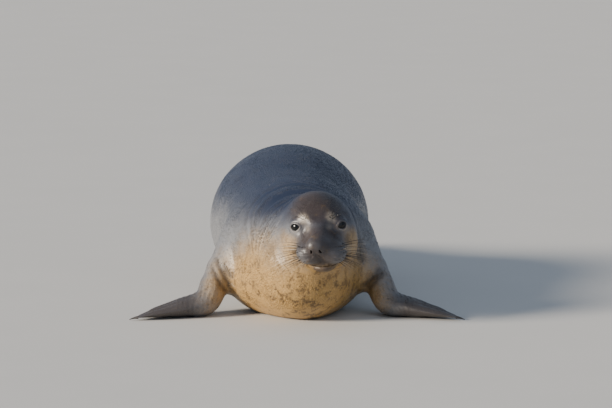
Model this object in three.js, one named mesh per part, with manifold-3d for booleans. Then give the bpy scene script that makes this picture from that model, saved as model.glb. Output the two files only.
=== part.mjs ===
// A young northern elephant seal, life size, hauled out on its belly with the head raised and both
// fore flippers spread flat on the ground. Millimetres, +Z up. The seal faces -Y, so its left side is +X.
// The origin is on the ground under the chest.
import * as THREE from 'three';
import { mergeVertices } from 'three/addons/utils/BufferGeometryUtils.js';
import Module from 'manifold-3d';

const wasm = await Module();
wasm.setup();

// Driving dimensions, in millimetres and degrees
const GAP = 0.3; // clear space between two pieces that meet
const NOSE = new THREE.Vector3(61, -468, 217); // front of the muzzle, which places the head
const HEAD = { pitch: -11, yaw: 0, roll: 3 }; // nose down, and the left eye a little higher
const HEAD_LEAN = 0.1; // sideways slide of the face for each mm below the eyes
// The nose turns to the seal's right ahead of "from", in full above "high" and not at all below "low"
const NOSE_BEND = { share: 0.3, from: 38, low: -25, high: 5 };
const EYE = { at: [56, 126, 37], radius: 21, look: [0.5, -0.84, 0.22] };
const LIDS = { thick: 3, halfWide: 13, halfHigh: 8.5, tilt: 12 };
const CLAW = { length: 26, root: 4.2, lift: 6, tipHeight: 2.4 };
const NOSTRIL = { at: [12, -6, 8], halfWide: 2.6, halfHigh: 6.5, deep: 14, slant: 10, roll: 17, splay: 12 };
// The line of the mouth in the head's frame, as [y, z] from the front to behind its corner
const MOUTH = { line: [[-40, -42], [10, -43], [100, -34], [130, -30]], halfWide: 120 };
// Whiskers: roots as [y, z] on the pads of the muzzle
const WHISKERS = { roots: [[40, 4], [52, 0], [34, -9], [47, -11], [58, -12], [40, -22], [52, -23]] };
const WHISKER = { length: 70, root: 1, tip: 0.3, sunk: 6, sag: 14, sweep: 0.3, lift: 0.22 };
const HEAD_COLUMNS = 52; // facets round the head
const TRUNK_COLUMNS = 44; // facets round the neck and trunk

// Soft forms of the head, in the head's own frame: x to the side (both sides alike), y back from the
// front of the muzzle, z up. Each is an ellipsoid that melts into the ones before it over "soft" mm.
const HEAD_FORMS = [
  { name: 'cranium', at: [0, 186, 22], size: [90, 102, 88], soft: 1 },
  { name: 'occiput', at: [0, 238, -8], size: [90, 90, 90], soft: 50 },
  { name: 'cheek', at: [46, 150, -30], size: [48, 76, 50], soft: 45 },
  { name: 'muzzle', at: [0, 88, -12], size: [60, 84, 44], soft: 40 },
  { name: 'jaw', at: [0, 124, -46], size: [56, 66, 38], soft: 30 },
  { name: 'bridge', at: [0, 80, 18], size: [28, 84, 30], soft: 34 },
  { name: 'nose', at: [0, 16, 16], size: [28, 25, 24], soft: 20 },
  { name: 'pad', at: [35, 42, -12], size: [34, 44, 31], soft: 18 },
  { name: 'chin', at: [0, 66, -48], size: [42, 58, 23], soft: 9 },
];
// Shallow swellings (rise > 0) and dents (rise < 0) of the head, each fading out over "size"
const HEAD_SWELLS = [
  { name: 'brow', at: [38, 116, 66], size: [20, 24, 14], rise: 5 },
  { name: 'tear hollow', at: [36, 96, 34], size: [13, 22, 18], rise: -7 },
  { name: 'under the eye', at: [66, 102, 2], size: [18, 22, 14], rise: -4 },
  { name: 'upper lip groove', at: [0, -2, -14], size: [5, 16, 16], rise: -6 },
];
// The neck and trunk, in the part's frame
const BODY_FORMS = [
  { name: 'chest', at: [3, -10, 170], size: [212, 255, 196], soft: 1 },
  { name: 'throat', at: [18, -205, 142], size: [142, 162, 148], soft: 60 },
  { name: 'breast', at: [-14, -70, 84], size: [180, 190, 96], soft: 60 },
  { name: 'nape', at: [36, -170, 238], size: [112, 150, 82], soft: 50 },
  { name: 'barrel', at: [-21, 350, 202], size: [231, 440, 222], soft: 70 },
];
// The tapering rear: its centre line runs straight, its girth shrinks with a full curve
const REAR = {
  from: [-27, 430, 180],
  to: [-62, 1080, 74],
  wide: [212, 84],
  full: 1.3,
  flat: 0.93,
  soft: 60,
};
// The shoulder under the skin of each side, which melts into the chest
const SHOULDER = { from: [146, -40, 178], to: [206, -84, 120], wide: [72, 44], full: 1, flat: 1, soft: 60 };
// Rolls of skin behind the head, in planes that all pass through a hinge line across the throat
const FOLDS = { hinge: [-300, 120], angles: [66, 58.5, 51], wide: 2.1, rise: 5, from: 170, to: 250 };

// Fore flippers: down and out from the shoulder, then flat on the ground, the first digit in front.
// A limb is a tube along its route, with the chord and thickness given from root to tip.
const FORE = {
  route: [
    [120, -40, 190], [178, -72, 140], [230, -118, 84], [259, -172, 38],
    [318, -192, 27], [392, -206, 17], [468, -218, 5],
  ],
  chord: [100, 104, 98, 96, 112, 122, 120],
  thick: [112, 98, 82, 76, 56, 36, 11],
  digits: [1, 0.96, 0.9, 0.83, 0.75],
  web: 0.035,
  rib: 0.3,
  ribsFrom: 0.66,
  blunt: 14,
  floor: 0,
};
// Hind flippers: back from the ankles, lying on the ground, the outer digits longest
const HIND = {
  route: [[46, 1040, 64], [60, 1120, 44], [76, 1190, 30], [94, 1270, 17], [118, 1390, 7]],
  chord: [86, 84, 90, 130, 176],
  thick: [92, 84, 58, 33, 12],
  digits: [1, 0.88, 0.8, 0.84, 0.94],
  web: 0.05,
  rib: 0.3,
  ribsFrom: 0.4,
  blunt: 14,
  floor: 0,
  tilt: 6,
};
// The short tail between them: its middle line, half width and half thickness from root to tip
const TAIL = { from: [1110, 92], to: [1216, 60], wide: [24, 9], thick: [15, 6], round: 3 };

// Distances to simple forms, and the ways of melting one into another
function ellipsoid(x, y, z, at, size) {
  const px = x - at[0];
  const py = y - at[1];
  const pz = z - at[2];
  const [rx, ry, rz] = size;
  const near = Math.hypot(px / rx, py / ry, pz / rz);
  const slope = Math.hypot(px / (rx * rx), py / (ry * ry), pz / (rz * rz));
  return slope < 1e-9 ? -Math.min(rx, ry, rz) : (near * (near - 1)) / slope;
}
function taper(x, y, z, { from, to, wide, full, flat }) {
  const along = to.map((v, i) => v - from[i]);
  const own = [x - from[0], y - from[1], z - from[2]];
  const share = along.reduce((sum, v, i) => sum + v * own[i], 0) / along.reduce((sum, v) => sum + v * v, 0);
  const t = Math.min(Math.max(share, 0), 1);
  const off = own.map((v, i) => v - along[i] * t);
  return Math.hypot(off[0], off[1], off[2] / flat) - (wide[0] + (wide[1] - wide[0]) * t ** full);
}
function melt(a, b, soft) {
  const h = Math.max(soft - Math.abs(a - b), 0) / soft;
  return Math.min(a, b) - (h * h * soft) / 4;
}
function meltForms(forms, x, y, z) {
  return forms.reduce((d, form) => melt(d, ellipsoid(x, y, z, form.at, form.size), form.soft), 1e9);
}
function swell(x, y, z, { at, size, rise }) {
  const far = ((x - at[0]) / size[0]) ** 2 + ((y - at[1]) / size[1]) ** 2 + ((z - at[2]) / size[2]) ** 2;
  return rise * Math.exp(-far / 2);
}
const smooth = (t) => THREE.MathUtils.smoothstep(t, 0, 1);

// The turn of a frame that is pitched (nose up), yawed and rolled by degrees
function turnOf({ pitch, yaw, roll }) {
  const radians = THREE.MathUtils.degToRad;
  return new THREE.Euler(radians(-pitch), radians(-roll), radians(yaw), 'ZXY');
}
const headToWorld = new THREE.Matrix4().compose(
  NOSE,
  new THREE.Quaternion().setFromEuler(turnOf(HEAD)),
  new THREE.Vector3(1, 1, 1),
);
const worldToHead = headToWorld.clone().invert();
// How far the face's middle has slid to the side at a height and a distance behind the nose
function slide(y, z) {
  const { share, from, low, high } = NOSE_BEND;
  const bent = share * Math.max(from - y, 0) * smooth((z - low) / (high - low));
  return HEAD_LEAN * (EYE.at[2] - z) - bent;
}
const inHead = (x, y, z) => new THREE.Vector3(x + slide(y, z), y, z).applyMatrix4(headToWorld);

function headDistance(x, y, z) {
  const side = Math.abs(x - slide(y, z));
  let d = meltForms(HEAD_FORMS, side, y, z);
  for (const form of HEAD_SWELLS) d -= swell(side, y, z, form);
  const mound = EYE.radius + LIDS.thick; // the eyeball under its lids
  return melt(d, ellipsoid(side, y, z, EYE.at, [mound, mound, mound]), 12);
}
function foldHeight(y, z) {
  const angle = THREE.MathUtils.radToDeg(Math.atan2(z - FOLDS.hinge[1], y - FOLDS.hinge[0]));
  const rolls = FOLDS.angles.reduce((sum, at) => sum + Math.exp(-(((angle - at) / FOLDS.wide) ** 2)), 0);
  return FOLDS.rise * rolls * smooth((z - FOLDS.from) / (FOLDS.to - FOLDS.from));
}
// Distance from a point to the seal's skin, less than 0 inside. The ground cuts the belly flat.
const own = new THREE.Vector3();
function sealDistance(x, y, z) {
  let d = meltForms(BODY_FORMS, x, y, z);
  d = melt(d, taper(x, y, z, REAR), REAR.soft);
  d = melt(d, taper(Math.abs(x), y, z, SHOULDER), SHOULDER.soft);
  own.set(x, y, z).applyMatrix4(worldToHead);
  d = melt(d, headDistance(own.x, own.y, own.z), 34) - foldHeight(y, z);
  return Math.max(d, -z);
}

// The skin is found along rays. A row of rays starts at one point: they lean from the row's "ahead" by
// the angle fan, so they fill a plane at 90 degrees, and go once round from below.
function castRay({ origin, ahead, side, up, fan }, turn, grow) {
  const round = turn - Math.PI / 2;
  const ray = ahead.clone().multiplyScalar(Math.cos(fan));
  ray.addScaledVector(side, Math.sin(fan) * Math.cos(round));
  ray.addScaledVector(up, Math.sin(fan) * Math.sin(round));
  const { x, y, z } = origin;
  const depth = (t) => sealDistance(x + ray.x * t, y + ray.y * t, z + ray.z * t) - grow;
  let reach = 0;
  for (let d = depth(0); d < -0.02 && reach < 900; d = depth(reach)) reach += Math.max(-d * 0.8, 0.05);
  let low = Math.max(reach - 3, 0);
  let high = reach + 3;
  for (let i = 0; i < 22; i++) {
    const middle = (low + high) / 2;
    if (depth(middle) < 0) low = middle;
    else high = middle;
  }
  const point = ray.multiplyScalar((low + high) / 2).add(origin);
  if (point.z < 0.01 - grow) point.z = -grow;
  return point;
}
function castRing(row, columns, grow) {
  return Array.from({ length: columns }, (_, c) => castRay(row, (c / columns) * 2 * Math.PI, grow));
}

// Joins a stack of rings of points into one closed surface, each end drawn in to its own middle point
function closeRings(rings, start, end) {
  const columns = rings[0].length;
  const points = [start, ...rings.flat(), end];
  const last = points.length - 1;
  const index = [];
  for (let c = 0; c < columns; c++) {
    const next = (c + 1) % columns;
    index.push(0, 1 + c, 1 + next);
    for (let k = 0; k + 1 < rings.length; k++) {
      const [a, b] = [1 + k * columns + c, 1 + k * columns + next];
      index.push(a, a + columns, b + columns, a, b + columns, b);
    }
    const base = 1 + (rings.length - 1) * columns;
    index.push(last, base + next, base + c);
  }
  const geometry = new THREE.BufferGeometry().setFromPoints(points);
  geometry.setIndex(index);
  return geometry;
}
function middleOf(ring) {
  return ring.reduce((sum, p) => sum.add(p), new THREE.Vector3()).divideScalar(ring.length);
}
function skinPiece(rows, columns, grow = 0) {
  const [first, last] = [rows[0], rows.at(-1)];
  const [startsAtPole, endsAtPole] = [first.fan < 1e-6, last.fan > Math.PI - 1e-6];
  const rings = rows.slice(startsAtPole ? 1 : 0, endsAtPole ? -1 : undefined);
  return closeRings(
    rings.map((row) => castRing(row, columns, grow)),
    startsAtPole ? castRay(first, 0, grow) : first.origin.clone(),
    endsAtPole ? castRay(last, 0, grow) : last.origin.clone(),
  );
}

// Stations on the line through the head and body. The rows between two of them turn from the one to
// the other: behind the head they lean, from the nape down and forward to the throat.
const STATIONS = {
  snout: { at: inHead(0, 64, -10), ...HEAD },
  brow: { at: inHead(0, 84, -8), ...HEAD, pitch: 3 },
  skull: { at: inHead(0, 182, -4), ...HEAD, pitch: 38 },
  nape: { at: new THREE.Vector3(40, -215, 225), pitch: 46, yaw: 0, roll: 0 },
  withers: { at: new THREE.Vector3(16, -145, 190), pitch: 31, yaw: 0, roll: 0 },
  shoulders: { at: new THREE.Vector3(4, -60, 192), pitch: 22, yaw: 0, roll: 0 },
  ribs: { at: new THREE.Vector3(-6, 60, 195), pitch: 12, yaw: 0, roll: 0 },
  waist: { at: new THREE.Vector3(-14, 170, 195), pitch: 4, yaw: 0, roll: 0 },
  belly: { at: new THREE.Vector3(-22, 350, 195), pitch: 0, yaw: 0, roll: 0 },
  flank: { at: new THREE.Vector3(-33, 560, 185), pitch: 0, yaw: 0, roll: 0 },
  loin: { at: new THREE.Vector3(-52, 880, 112), pitch: 0, yaw: 0, roll: 0 },
  rump: { at: new THREE.Vector3(-62, 1080, 74), pitch: 0, yaw: 0, roll: 0 },
};
function rowAt({ at, pitch, yaw, roll }, fan = 90) {
  const turn = turnOf({ pitch, yaw, roll });
  const axis = (x, y, z) => new THREE.Vector3(x, y, z).applyEuler(turn);
  return {
    origin: at,
    ahead: axis(0, -1, 0),
    side: axis(1, 0, 0),
    up: axis(0, 0, 1),
    fan: THREE.MathUtils.degToRad(fan),
  };
}
function fanRows(station, from, to, count) {
  return Array.from({ length: count }, (_, i) => rowAt(station, from + ((to - from) * i) / (count - 1)));
}
function runRows(a, b, count) {
  return Array.from({ length: count }, (_, i) => {
    const t = (i + 1) / count;
    const mix = (key) => a[key] + (b[key] - a[key]) * t;
    const at = a.at.clone().lerp(b.at, t);
    return rowAt({ at, pitch: mix('pitch'), yaw: mix('yaw'), roll: mix('roll') });
  });
}
// The row of a station, moved along the body so that the piece reaches a little past its cut
const SPARE = 2;
function edgeRow(station, back) {
  const row = rowAt(station);
  row.origin = row.origin.clone().addScaledVector(row.ahead, -back);
  return row;
}
// The rows of one piece: from just ahead of its front station, by way of others, to just past the last
function lengthRows(stations, counts) {
  const runs = counts.flatMap((count, i) => runRows(stations[i], stations[i + 1], count));
  return [edgeRow(stations[0], -SPARE), ...runs.slice(0, -1), edgeRow(stations.at(-1), SPARE)];
}

const S = STATIONS;
const ROWS = {
  muzzle: [...fanRows(S.snout, 0, 90, 17), ...lengthRows([S.snout, S.brow], [4]).slice(1)],
  head: lengthRows([S.brow, S.skull], [11]),
  neck: lengthRows([S.skull, S.nape, S.withers], [7, 5]),
  chest: lengthRows([S.withers, S.shoulders, S.ribs], [4, 4]),
  torso: lengthRows([S.ribs, S.waist, S.belly, S.flank], [3, 4, 4]),
  loins: lengthRows([S.flank, S.loin], [7]),
  hips: [edgeRow(S.loin, -SPARE), ...runRows(S.loin, S.rump, 5), ...fanRows(S.rump, 90, 180, 7).slice(1)],
};

// Solids for joining and cutting
function solidOf(geometry) {
  const bare = new THREE.BufferGeometry();
  bare.setAttribute('position', geometry.getAttribute('position'));
  if (geometry.index) bare.setIndex(geometry.index);
  const merged = mergeVertices(bare, 1e-4);
  return new wasm.Manifold(
    new wasm.Mesh({
      numProp: 3,
      vertProperties: merged.attributes.position.array,
      triVerts: new Uint32Array(merged.index.array),
    }),
  );
}
function geometryOf(solid) {
  const mesh = solid.getMesh();
  const geometry = new THREE.BufferGeometry();
  geometry.setAttribute('position', new THREE.BufferAttribute(mesh.vertProperties, 3));
  geometry.setIndex(new THREE.BufferAttribute(mesh.triVerts, 1));
  return geometry;
}
function largest(solid) {
  return solid.decompose().reduce((best, body) => (body.volume() > best.volume() ? body : best));
}

// Everything ahead of a station's plane, or behind it, as one large block to cut away
function blockAt(station, ahead) {
  const size = 1200;
  const { origin, ahead: forward, side, up } = rowAt(station);
  const block = new THREE.BoxGeometry(size, size, size).translate(0, ahead ? GAP - size / 2 : size / 2, 0);
  const turn = new THREE.Matrix4().makeBasis(side, forward.clone().negate(), up).setPosition(origin);
  return solidOf(block.applyMatrix4(turn));
}

// A length of the body between two cut planes
function bodyPiece(rows, columns, front, back) {
  let piece = solidOf(skinPiece(rows, columns));
  if (front) piece = piece.subtract(blockAt(front, true));
  if (back) piece = piece.subtract(blockAt(back, false));
  return largest(piece);
}

// The part's group and materials
const seal = new THREE.Group();
const COLOURS = {
  back: [0x5d6068, 0.5],
  head: [0x6b6159, 0.5],
  throat: [0xb59c74, 0.6],
  flank: [0x8a867e, 0.5],
  flipper: [0x5b5048, 0.5],
  eye: [0x0d0b0a, 0.05],
  claw: [0x2b2622, 0.35],
};
function addPiece(name, colour, geometry) {
  const [color, roughness] = COLOURS[colour];
  const mesh = new THREE.Mesh(geometry, new THREE.MeshStandardMaterial({ color, roughness, metalness: 0 }));
  mesh.name = name;
  seal.add(mesh);
}

// Neck and trunk
addPiece('neck', 'throat', geometryOf(bodyPiece(ROWS.neck, TRUNK_COLUMNS, S.skull, S.withers)));
addPiece('chest', 'throat', geometryOf(bodyPiece(ROWS.chest, TRUNK_COLUMNS, S.withers, S.ribs)));
addPiece('torso', 'flank', geometryOf(bodyPiece(ROWS.torso, TRUNK_COLUMNS, S.ribs, S.flank)));
addPiece('loins', 'back', geometryOf(bodyPiece(ROWS.loins, TRUNK_COLUMNS, S.flank, S.loin)));
addPiece('hips', 'back', geometryOf(bodyPiece(ROWS.hips, TRUNK_COLUMNS, S.loin, null)));

// Head: the eyeballs sit in sockets, and a lens-shaped opening between the lids shows them
function eyeFrame(side) {
  const look = new THREE.Vector3(side * EYE.look[0], EYE.look[1], EYE.look[2]).normalize();
  const turn = new THREE.Quaternion().setFromUnitVectors(new THREE.Vector3(0, -1, 0), look);
  const at = new THREE.Vector3(side * EYE.at[0], EYE.at[1], EYE.at[2]);
  return headToWorld.clone().multiply(new THREE.Matrix4().compose(at, turn, new THREE.Vector3(1, 1, 1)));
}
function eyeball(side, grow) {
  const ball = new THREE.SphereGeometry(EYE.radius + grow, 18, 11).rotateX(Math.PI / 2);
  return ball.applyMatrix4(eyeFrame(side));
}
function lidOpening(side) {
  const opening = new THREE.CylinderGeometry(1.25, 1, EYE.radius + 12, 18);
  opening.rotateX(Math.PI).scale(LIDS.halfWide, 1, LIDS.halfHigh).translate(0, -(EYE.radius + 12) / 2, 0);
  opening.rotateY(THREE.MathUtils.degToRad(side * LIDS.tilt));
  return opening.applyMatrix4(eyeFrame(side));
}
let head = bodyPiece(ROWS.head, HEAD_COLUMNS, S.brow, S.skull);
for (const side of [-1, 1]) {
  head = head.subtract(solidOf(eyeball(side, GAP))).subtract(solidOf(lidOpening(side)));
}
addPiece('head', 'head', geometryOf(largest(head)));
addPiece('eye_right', 'eye', eyeball(-1, 0));
addPiece('eye_left', 'eye', eyeball(1, 0));

// Muzzle and lower jaw: one surface, parted along the mouth by a thin curved sheet
function mouthSheet(low, high) {
  const edge = new THREE.SplineCurve(MOUTH.line.map(([y, z]) => new THREE.Vector2(y, z))).getPoints(12);
  const outline = [
    ...edge.map((p) => new THREE.Vector2(p.x, p.y + low)),
    ...edge.reverse().map((p) => new THREE.Vector2(p.x, p.y + high)),
  ];
  const across = { depth: 2 * MOUTH.halfWide, bevelEnabled: false };
  const sheet = new THREE.ExtrudeGeometry(new THREE.Shape(outline), across);
  // the outline's (y, z) plane stands upright, across the head
  const upright = new THREE.Matrix4().set(0, 0, 1, -MOUTH.halfWide, 1, 0, 0, 0, 0, 1, 0, 0, 0, 0, 0, 1);
  return solidOf(sheet.applyMatrix4(upright).applyMatrix4(headToWorld));
}
const snout = bodyPiece(ROWS.muzzle, HEAD_COLUMNS, null, S.brow);
let muzzle = snout.subtract(mouthSheet(-80, 0));
const jaw = snout.subtract(mouthSheet(-GAP, 120));
for (const side of [-1, 1]) {
  const rod = new THREE.CylinderGeometry(1, 0.6, 2 * NOSTRIL.deep, 10);
  rod.scale(NOSTRIL.halfWide, 1, NOSTRIL.halfHigh);
  rod.rotateY(THREE.MathUtils.degToRad(-side * NOSTRIL.slant - NOSTRIL.roll));
  const [x, y, z] = NOSTRIL.at;
  rod.rotateZ(THREE.MathUtils.degToRad(-side * NOSTRIL.splay)).translate(side * x + slide(y, z), y, z);
  muzzle = muzzle.subtract(solidOf(rod.applyMatrix4(headToWorld)));
}
// A whisker: a bent spine with its root sunk in a pad of the muzzle
function whisker(side, [y, z]) {
  const back = (y - WHISKERS.roots[0][0]) / 20;
  const way = new THREE.Vector3(side, WHISKER.sweep * (back - 0.6), WHISKER.lift + z / 110).normalize();
  way.applyQuaternion(new THREE.Quaternion().setFromRotationMatrix(headToWorld));
  const origin = inHead(0, y, z);
  const root = castRay({ origin, ahead: way, side: way, up: way, fan: 0 }, 0, -WHISKER.sunk);
  const across = new THREE.Vector3(0, 0, 1).cross(way).normalize();
  const up = way.clone().cross(across);
  const rings = Array.from({ length: 3 }, (_, k) => {
    const t = k / 2;
    const radius = WHISKER.root + (WHISKER.tip - WHISKER.root) * t;
    const centre = root.clone().addScaledVector(way, WHISKER.length * t);
    centre.z -= WHISKER.sag * t * t;
    return Array.from({ length: 3 }, (_, c) => {
      const turn = (-c / 3) * 2 * Math.PI;
      const point = centre.clone().addScaledVector(across, radius * Math.cos(turn));
      return point.addScaledVector(up, radius * Math.sin(turn));
    });
  });
  return solidOf(closeRings(rings, middleOf(rings[0]), middleOf(rings.at(-1))));
}
for (const side of [-1, 1]) {
  for (const root of WHISKERS.roots) muzzle = muzzle.add(whisker(side, root));
}
addPiece('muzzle', 'head', geometryOf(largest(muzzle)));
addPiece('lower_jaw', 'throat', geometryOf(largest(jaw)));

// Limbs: a flat tube along a route. Its chord runs along "across", its thickness at right angles.
// The tube's end is the limb's outline: each share of the chord reaches its own distance along the route.
function profile(values, t) {
  const place = Math.min(Math.max(t, 0), 1) * (values.length - 1);
  const low = Math.min(Math.floor(place), values.length - 2);
  return values[low] + (values[low + 1] - values[low]) * smooth(place - low) * 0.5
    + (values[low + 1] - values[low]) * (place - low) * 0.5;
}
function digitReach(limb, u) {
  const place = ((u + 1) / 2) * limb.digits.length - 0.5;
  const low = Math.min(Math.max(Math.floor(place), 0), limb.digits.length - 2);
  const t = Math.min(Math.max(place - low, 0), 1);
  const reach = limb.digits[low] + (limb.digits[low + 1] - limb.digits[low]) * t;
  const between = Math.cos(place * 2 * Math.PI);
  return reach - limb.web * (1 - between) / 2;
}
function limbPoint(limb, w, turn) {
  const u = Math.cos(turn);
  const s = w * digitReach(limb, u);
  const along = limb.curve.getTangent(s);
  const across = limb.across.clone().addScaledVector(along, -along.dot(limb.across)).normalize();
  const out = across.clone().cross(along).multiplyScalar(limb.side);
  const place = ((u + 1) / 2) * limb.digits.length - 0.5;
  const rib = 1 + limb.rib * smooth((s - limb.ribsFrom) / 0.2) * (Math.cos(place * 2 * Math.PI) - 1) / 2;
  const edge = Math.sqrt(1 - w ** limb.blunt);
  const point = limb.curve.getPoint(s);
  point.addScaledVector(across, (u * profile(limb.chord, s)) / 2);
  point.addScaledVector(out, (Math.sin(turn) * rib * edge * profile(limb.thick, s)) / 2);
  if (point.z < limb.floor) point.z = limb.floor;
  return point;
}
function limbPiece(limb, rows, columns) {
  const rings = Array.from({ length: rows + 1 }, (_, k) =>
    Array.from({ length: columns }, (_, c) => {
      const turn = (c / columns) * 2 * Math.PI;
      return limbPoint(limb, k / rows, turn * limb.side);
    }),
  );
  // the last ring is a line where top and bottom meet, so the tube closes on itself there
  const position = rings.flat().concat([limb.curve.getPoint(0)]);
  const root = position.length - 1;
  const index = [];
  for (let c = 0; c < columns; c++) {
    const next = (c + 1) % columns;
    index.push(root, c, next);
    for (let k = 0; k < rows; k++) {
      const [a, b] = [k * columns + c, k * columns + next];
      index.push(a, a + columns, b + columns, a, b + columns, b);
    }
  }
  const geometry = new THREE.BufferGeometry().setFromPoints(position);
  geometry.setIndex(index);
  return geometry;
}
function routeOf(points) {
  return new THREE.CatmullRomCurve3(points.map((p) => new THREE.Vector3(...p)), false, 'centripetal');
}

// The limb a little larger all round, to cut its neighbours clear of it
function grown(limb) {
  const add = (v) => v + 4 * GAP;
  return { ...limb, chord: limb.chord.map(add), thick: limb.thick.map(add) };
}

// A claw: a horn that bends down over the end of its digit
function claw(limb, digit, grow) {
  const u = ((digit + 0.5) / limb.digits.length) * 2 - 1;
  const tip = limbPoint({ ...limb, blunt: 60 }, 0.99, Math.acos(u) * limb.side);
  const s = 0.93 * digitReach(limb, u);
  const along = limb.curve.getTangent(s).setZ(0).normalize();
  const { length, root, lift } = CLAW;
  const rings = Array.from({ length: 5 }, (_, k) => {
    const t = k / 4;
    const radius = root * (1 - 0.8 * t ** 1.3) + grow;
    const spare = k === 0 ? -grow : k === 4 ? grow : 0;
    const centre = tip.clone().addScaledVector(along, length * (t - 0.55) + spare);
    centre.z = lift * (1 - t * t) + CLAW.tipHeight;
    const side = new THREE.Vector3(-along.y, along.x, 0);
    return Array.from({ length: 6 }, (_, c) => {
      const turn = (c / 6) * 2 * Math.PI;
      const point = centre.clone().addScaledVector(side, radius * 0.8 * Math.cos(turn));
      point.z += radius * Math.sin(turn);
      return point;
    });
  });
  return closeRings(rings.map((ring) => ring.reverse()), middleOf(rings[0]), middleOf(rings.at(-1)));
}

const REAR_X = REAR.to[0];
function sideName(side) {
  return side > 0 ? 'left' : 'right';
}
const trunkRows = [...ROWS.neck.slice(4), ...ROWS.chest.slice(1), ...ROWS.torso.slice(1, 6)];
const trunk = solidOf(skinPiece(trunkRows, TRUNK_COLUMNS, GAP));
// The tail, less everything that it lies against
function tailPiece() {
  const rings = Array.from({ length: 9 }, (_, k) => {
    const t = k / 8;
    const end = Math.sqrt(1 - (t * 0.995) ** (2 * TAIL.round));
    const wide = (TAIL.wide[0] + (TAIL.wide[1] - TAIL.wide[0]) * t) * end;
    const thick = (TAIL.thick[0] + (TAIL.thick[1] - TAIL.thick[0]) * t) * end;
    return Array.from({ length: 16 }, (_, c) => {
      const turn = (c / 16) * 2 * Math.PI;
      const y = TAIL.from[0] + (TAIL.to[0] - TAIL.from[0]) * t;
      const z = TAIL.from[1] + (TAIL.to[1] - TAIL.from[1]) * t + thick * Math.sin(turn);
      return new THREE.Vector3(REAR_X + wide * Math.cos(turn), y, z);
    });
  });
  return solidOf(closeRings(rings, middleOf(rings[0]), middleOf(rings.at(-1))));
}
let tail = tailPiece();
const hips = solidOf(skinPiece(ROWS.hips, TRUNK_COLUMNS, GAP));
for (const side of [-1, 1]) {
  const name = sideName(side);
  const fore = {
    ...FORE,
    side,
    curve: routeOf(FORE.route.map(([x, y, z]) => [side * x, y, z])),
    across: new THREE.Vector3(0, 1, 0),
  };
  let flipper = solidOf(limbPiece(fore, 19, 32)).subtract(trunk);
  for (let digit = 0; digit < fore.digits.length; digit++) {
    addPiece(`fore_flipper_${name}_claw_${digit + 1}`, 'claw', claw(fore, digit, 0));
    flipper = flipper.subtract(solidOf(claw(fore, digit, GAP)));
  }
  addPiece(`fore_flipper_${name}`, 'flipper', geometryOf(largest(flipper)));

  const tilt = THREE.MathUtils.degToRad(HIND.tilt);
  const hind = {
    ...HIND,
    side,
    curve: routeOf(HIND.route.map(([x, y, z]) => [REAR_X + side * x, y, z])),
    across: new THREE.Vector3(-side * Math.cos(tilt), 0, Math.sin(tilt)),
  };
  const flat = solidOf(limbPiece(hind, 15, 28)).subtract(hips);
  tail = tail.subtract(solidOf(limbPiece(grown(hind), 15, 28)));
  addPiece(`hind_flipper_${name}`, 'flipper', geometryOf(largest(flat)));
}
addPiece('tail', 'back', geometryOf(largest(tail.subtract(hips))));

export default seal;
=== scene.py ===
"""Skin, coat, eyes, whiskers and claws of a life-size young elephant seal, over its solids."""

import math

import bpy
import numpy as np
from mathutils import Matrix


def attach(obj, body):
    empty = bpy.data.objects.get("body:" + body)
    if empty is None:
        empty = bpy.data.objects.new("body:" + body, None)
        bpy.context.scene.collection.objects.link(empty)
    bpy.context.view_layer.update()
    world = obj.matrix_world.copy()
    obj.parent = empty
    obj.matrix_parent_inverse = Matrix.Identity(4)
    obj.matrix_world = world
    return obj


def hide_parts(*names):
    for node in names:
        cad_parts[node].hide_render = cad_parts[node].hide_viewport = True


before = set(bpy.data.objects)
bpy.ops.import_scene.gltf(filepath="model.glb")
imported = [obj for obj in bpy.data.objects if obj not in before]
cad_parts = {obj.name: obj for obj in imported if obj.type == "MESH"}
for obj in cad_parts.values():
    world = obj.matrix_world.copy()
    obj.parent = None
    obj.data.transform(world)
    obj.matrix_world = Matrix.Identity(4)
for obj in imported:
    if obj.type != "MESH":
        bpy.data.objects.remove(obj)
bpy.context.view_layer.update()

bl_info = {
    "name": "Elephant Seal",
    "version": (1, 0, 0),
    "blender": (4, 5, 0),
    "location": "View3D > Sidebar > Seal",
    "description": "Dresses the solids of a life-size elephant seal with skin, coat, eyes and whiskers",
    "category": "Object",
}

# Shapes are worked out in millimetres and turned into metres as they become meshes
MM = 0.001
SEED = 7

# Driving sizes of the solids, in millimetres and degrees
NOSE = (61, -468, 217)
HEAD = {"pitch": -11, "yaw": 0, "roll": 3}
HEAD_LEAN = 0.1
NOSE_BEND = {"share": 0.3, "from": 38, "low": -25, "high": 5}
EYE = {"at": (56, 126, 37), "radius": 21, "look": (0.5, -0.84, 0.22)}
LIDS = {
    "thick": 3, "half_wide": 13, "half_high": 8.5, "tilt": 12, "power": 1.7, "crest": 3.2, "edge": 72,
    "over_eye": 1.2, "under_edge": 0.6, "fold": (0.9, 0.5), "fold_at": (15, 12),
}
NOSTRIL = {
    "at": (12, -6, 8), "half_wide": 2.6, "half_high": 6.5, "deep": 16, "slant": 10, "roll": 17, "splay": 12,
}
CLAW = {"length": 26, "root": 4.2, "lift": 6, "tip_height": 2.4}
PAD = {"at": (33, 47, -12), "turns": (16, 108), "tilts": (-44, 36), "rows": 6, "columns": 6}
WHISKERS = {
    "shortest": 16, "longest": 90, "root": 0.7, "droop": 24, "sweep": 0.3, "sunk": 3, "pale": 0.3,
}
BULB = {"length": 4.6, "root": 2.3}
BROW = {"from": (30, 122, 40), "count": 7, "shortest": 34, "longest": 55, "root": 0.55}
MOUTH = {"line": ((-40, -42), (10, -43), (100, -34)), "half_wide": 120, "gap": 1.3}
TAIL = {"from": (1110, 92), "to": (1216, 60), "wide": (24, 9), "thick": (15, 6), "round": 3}

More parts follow.
